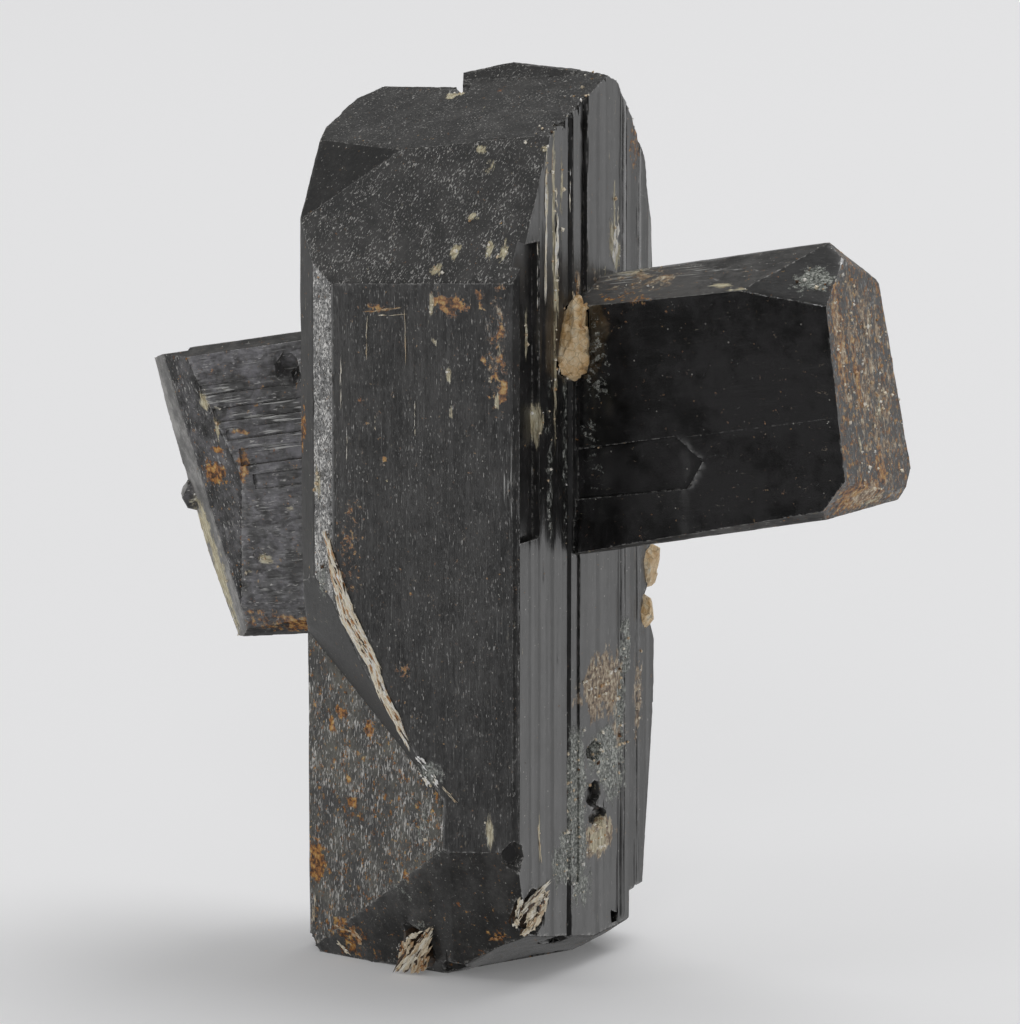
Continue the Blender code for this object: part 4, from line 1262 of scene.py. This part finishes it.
# Crumbs of feldspar and mica.
# The real crystal has loose crumbs stuck in its etched streaks, in the pits and along the
# crumbled edge of the crown. Each is a broken grain a few hundredths of a millimetre across.
crumbs = bmesh.new()
tones = crumbs.verts.layers.float.new("tone")
for spot, away, kind in crumb_spots:
    size = 0.022 + 0.075 * chance.random() ** 2.4
    turn = chance.uniform(0.0, 6.28)
    axle = Vector((chance.random(), 1.0, chance.random())).normalized()
    tone = chance.uniform(0.36, 0.98) if kind == "cream" else chance.choice((0.14, 0.48, 0.60, 0.80, 0.92))
    middle = spot + away * size * 0.4
    turned = Matrix.Rotation(turn, 3, axle)
    arms = [Vector(arm) * size * chance.uniform(0.6, 1.3) for arm in (
        (1, 0, 0), (0, 1, 0), (-1, 0, 0), (0, -1, 0), (0, 0, 1), (0, 0, -1))]
    corners = [crumbs.verts.new(middle + turned @ arm) for arm in arms]
    for corner in corners:
        corner[tones] = tone
    for one, two in ((0, 1), (1, 2), (2, 3), (3, 0)):
        crumbs.faces.new((corners[one], corners[two], corners[4]))
        crumbs.faces.new((corners[two], corners[one], corners[5]))
mineral_crumbs = finished_piece("mineral_crumbs", crumbs, [mineral_leaves])
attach(mineral_crumbs, "root")

# The floor and the light.
# A plain pale floor, lit from above and from both sides by large soft lamps, with the room dark
# on the camera's side, so that the black faces that look to the front stay black.
floor_mesh = bmesh.new()
bmesh.ops.create_grid(floor_mesh, x_segments=2, y_segments=2, size=3000.0)
pale = bpy.data.materials.new("pale_floor")
pale.use_nodes = True
surface = pale.node_tree.nodes["Principled BSDF"].inputs
surface["Base Color"].default_value = (0.80, 0.80, 0.81, 1.0)
surface["Roughness"].default_value = 0.9
surface["Emission Color"].default_value = (1.0, 1.0, 1.0, 1.0)
surface["Emission Strength"].default_value = 0.12
floor = finished_piece("floor", floor_mesh, [pale])
floor.visible_glossy = False
floor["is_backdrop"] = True

# The soft lamps, which shine at the middle of the specimen: place, side and radiance.
LAMPS = {
    "lamp_above": ((0.10, 0.55, 1.10), 0.90, 3.0),
    "lamp_left": ((-0.90, -0.10, 0.22), 0.40, 1.2),
    "lamp_front_left": ((-0.30, -0.34, 0.40), 0.16, 2.4),
    "lamp_front_right": ((0.26, -0.56, 0.34), 0.24, 2.6),
}
for name, (place, side, radiance) in LAMPS.items():
    lamp = bpy.data.lights.new(name, "AREA")
    lamp.size = side
    lamp.energy = radiance * math.pi * side * side
    thing = bpy.data.objects.new(name, lamp)
    thing.location = place
    toward = Vector((0.0, 0.0, 0.016)) - Vector(place)
    thing.rotation_euler = toward.to_track_quat("-Z", "Y").to_euler()
    bpy.context.scene.collection.objects.link(thing)

world = bpy.data.worlds.new("studio")
bpy.context.scene.world = world
world.use_nodes = True
sky = world.node_tree
way = add(sky, "SeparateXYZ", {"Vector": add(sky, "TexCoord")["Generated"]})
behind = math_of(sky, "MULTIPLY", smooth_step(sky, way["Y"], 0.15, 0.60), 0.40)
rightward = math_of(sky, "MULTIPLY_ADD", smooth_step(sky, way["X"], 0.30, 0.68), 1.3, 0.85)
behind = math_of(sky, "MULTIPLY", behind, rightward)
left = math_of(sky, "MULTIPLY", smooth_step(sky, way["X"], -0.48, -0.80), 0.62)
level = math_of(sky, "MAXIMUM", behind, left)
level = math_of(sky, "MULTIPLY", level, smooth_step(sky, way["Z"], 0.60, 0.20))
high = math_of(sky, "MULTIPLY", smooth_step(sky, way["Z"], 0.30, 0.90), 0.34)
level = math_of(sky, "ADD", level, math_of(sky, "ADD", high, 0.05))
sky.links.new(level, sky.nodes["Background"].inputs["Strength"])
sky.nodes["Background"].inputs["Color"].default_value = (1.0, 1.0, 1.0, 1.0)
bpy.context.scene.view_settings.view_transform = "Standard"

# The camera, at the photograph's viewing angle.
CAMERA_TURN = math.radians(30.0)
CAMERA_RISE = math.radians(10.0)
CAMERA_FAR = 0.199
AIM = Vector((1.9 * math.cos(CAMERA_TURN), 1.9 * math.sin(CAMERA_TURN), 15.74)) * MM
back = Vector((
    math.sin(CAMERA_TURN) * math.cos(CAMERA_RISE),
    -math.cos(CAMERA_TURN) * math.cos(CAMERA_RISE),
    math.sin(CAMERA_RISE),
))
lens = bpy.data.cameras.new("camera")
lens.lens = 200.0
lens.sensor_width = 36.0
lens.clip_start = 0.01
lens.clip_end = 20.0
camera = bpy.data.objects.new("camera", lens)
camera.location = AIM + back * CAMERA_FAR
camera.rotation_euler = (-back).to_track_quat("-Z", "Y").to_euler()
bpy.context.scene.collection.objects.link(camera)
bpy.context.scene.camera = camera

low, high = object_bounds()
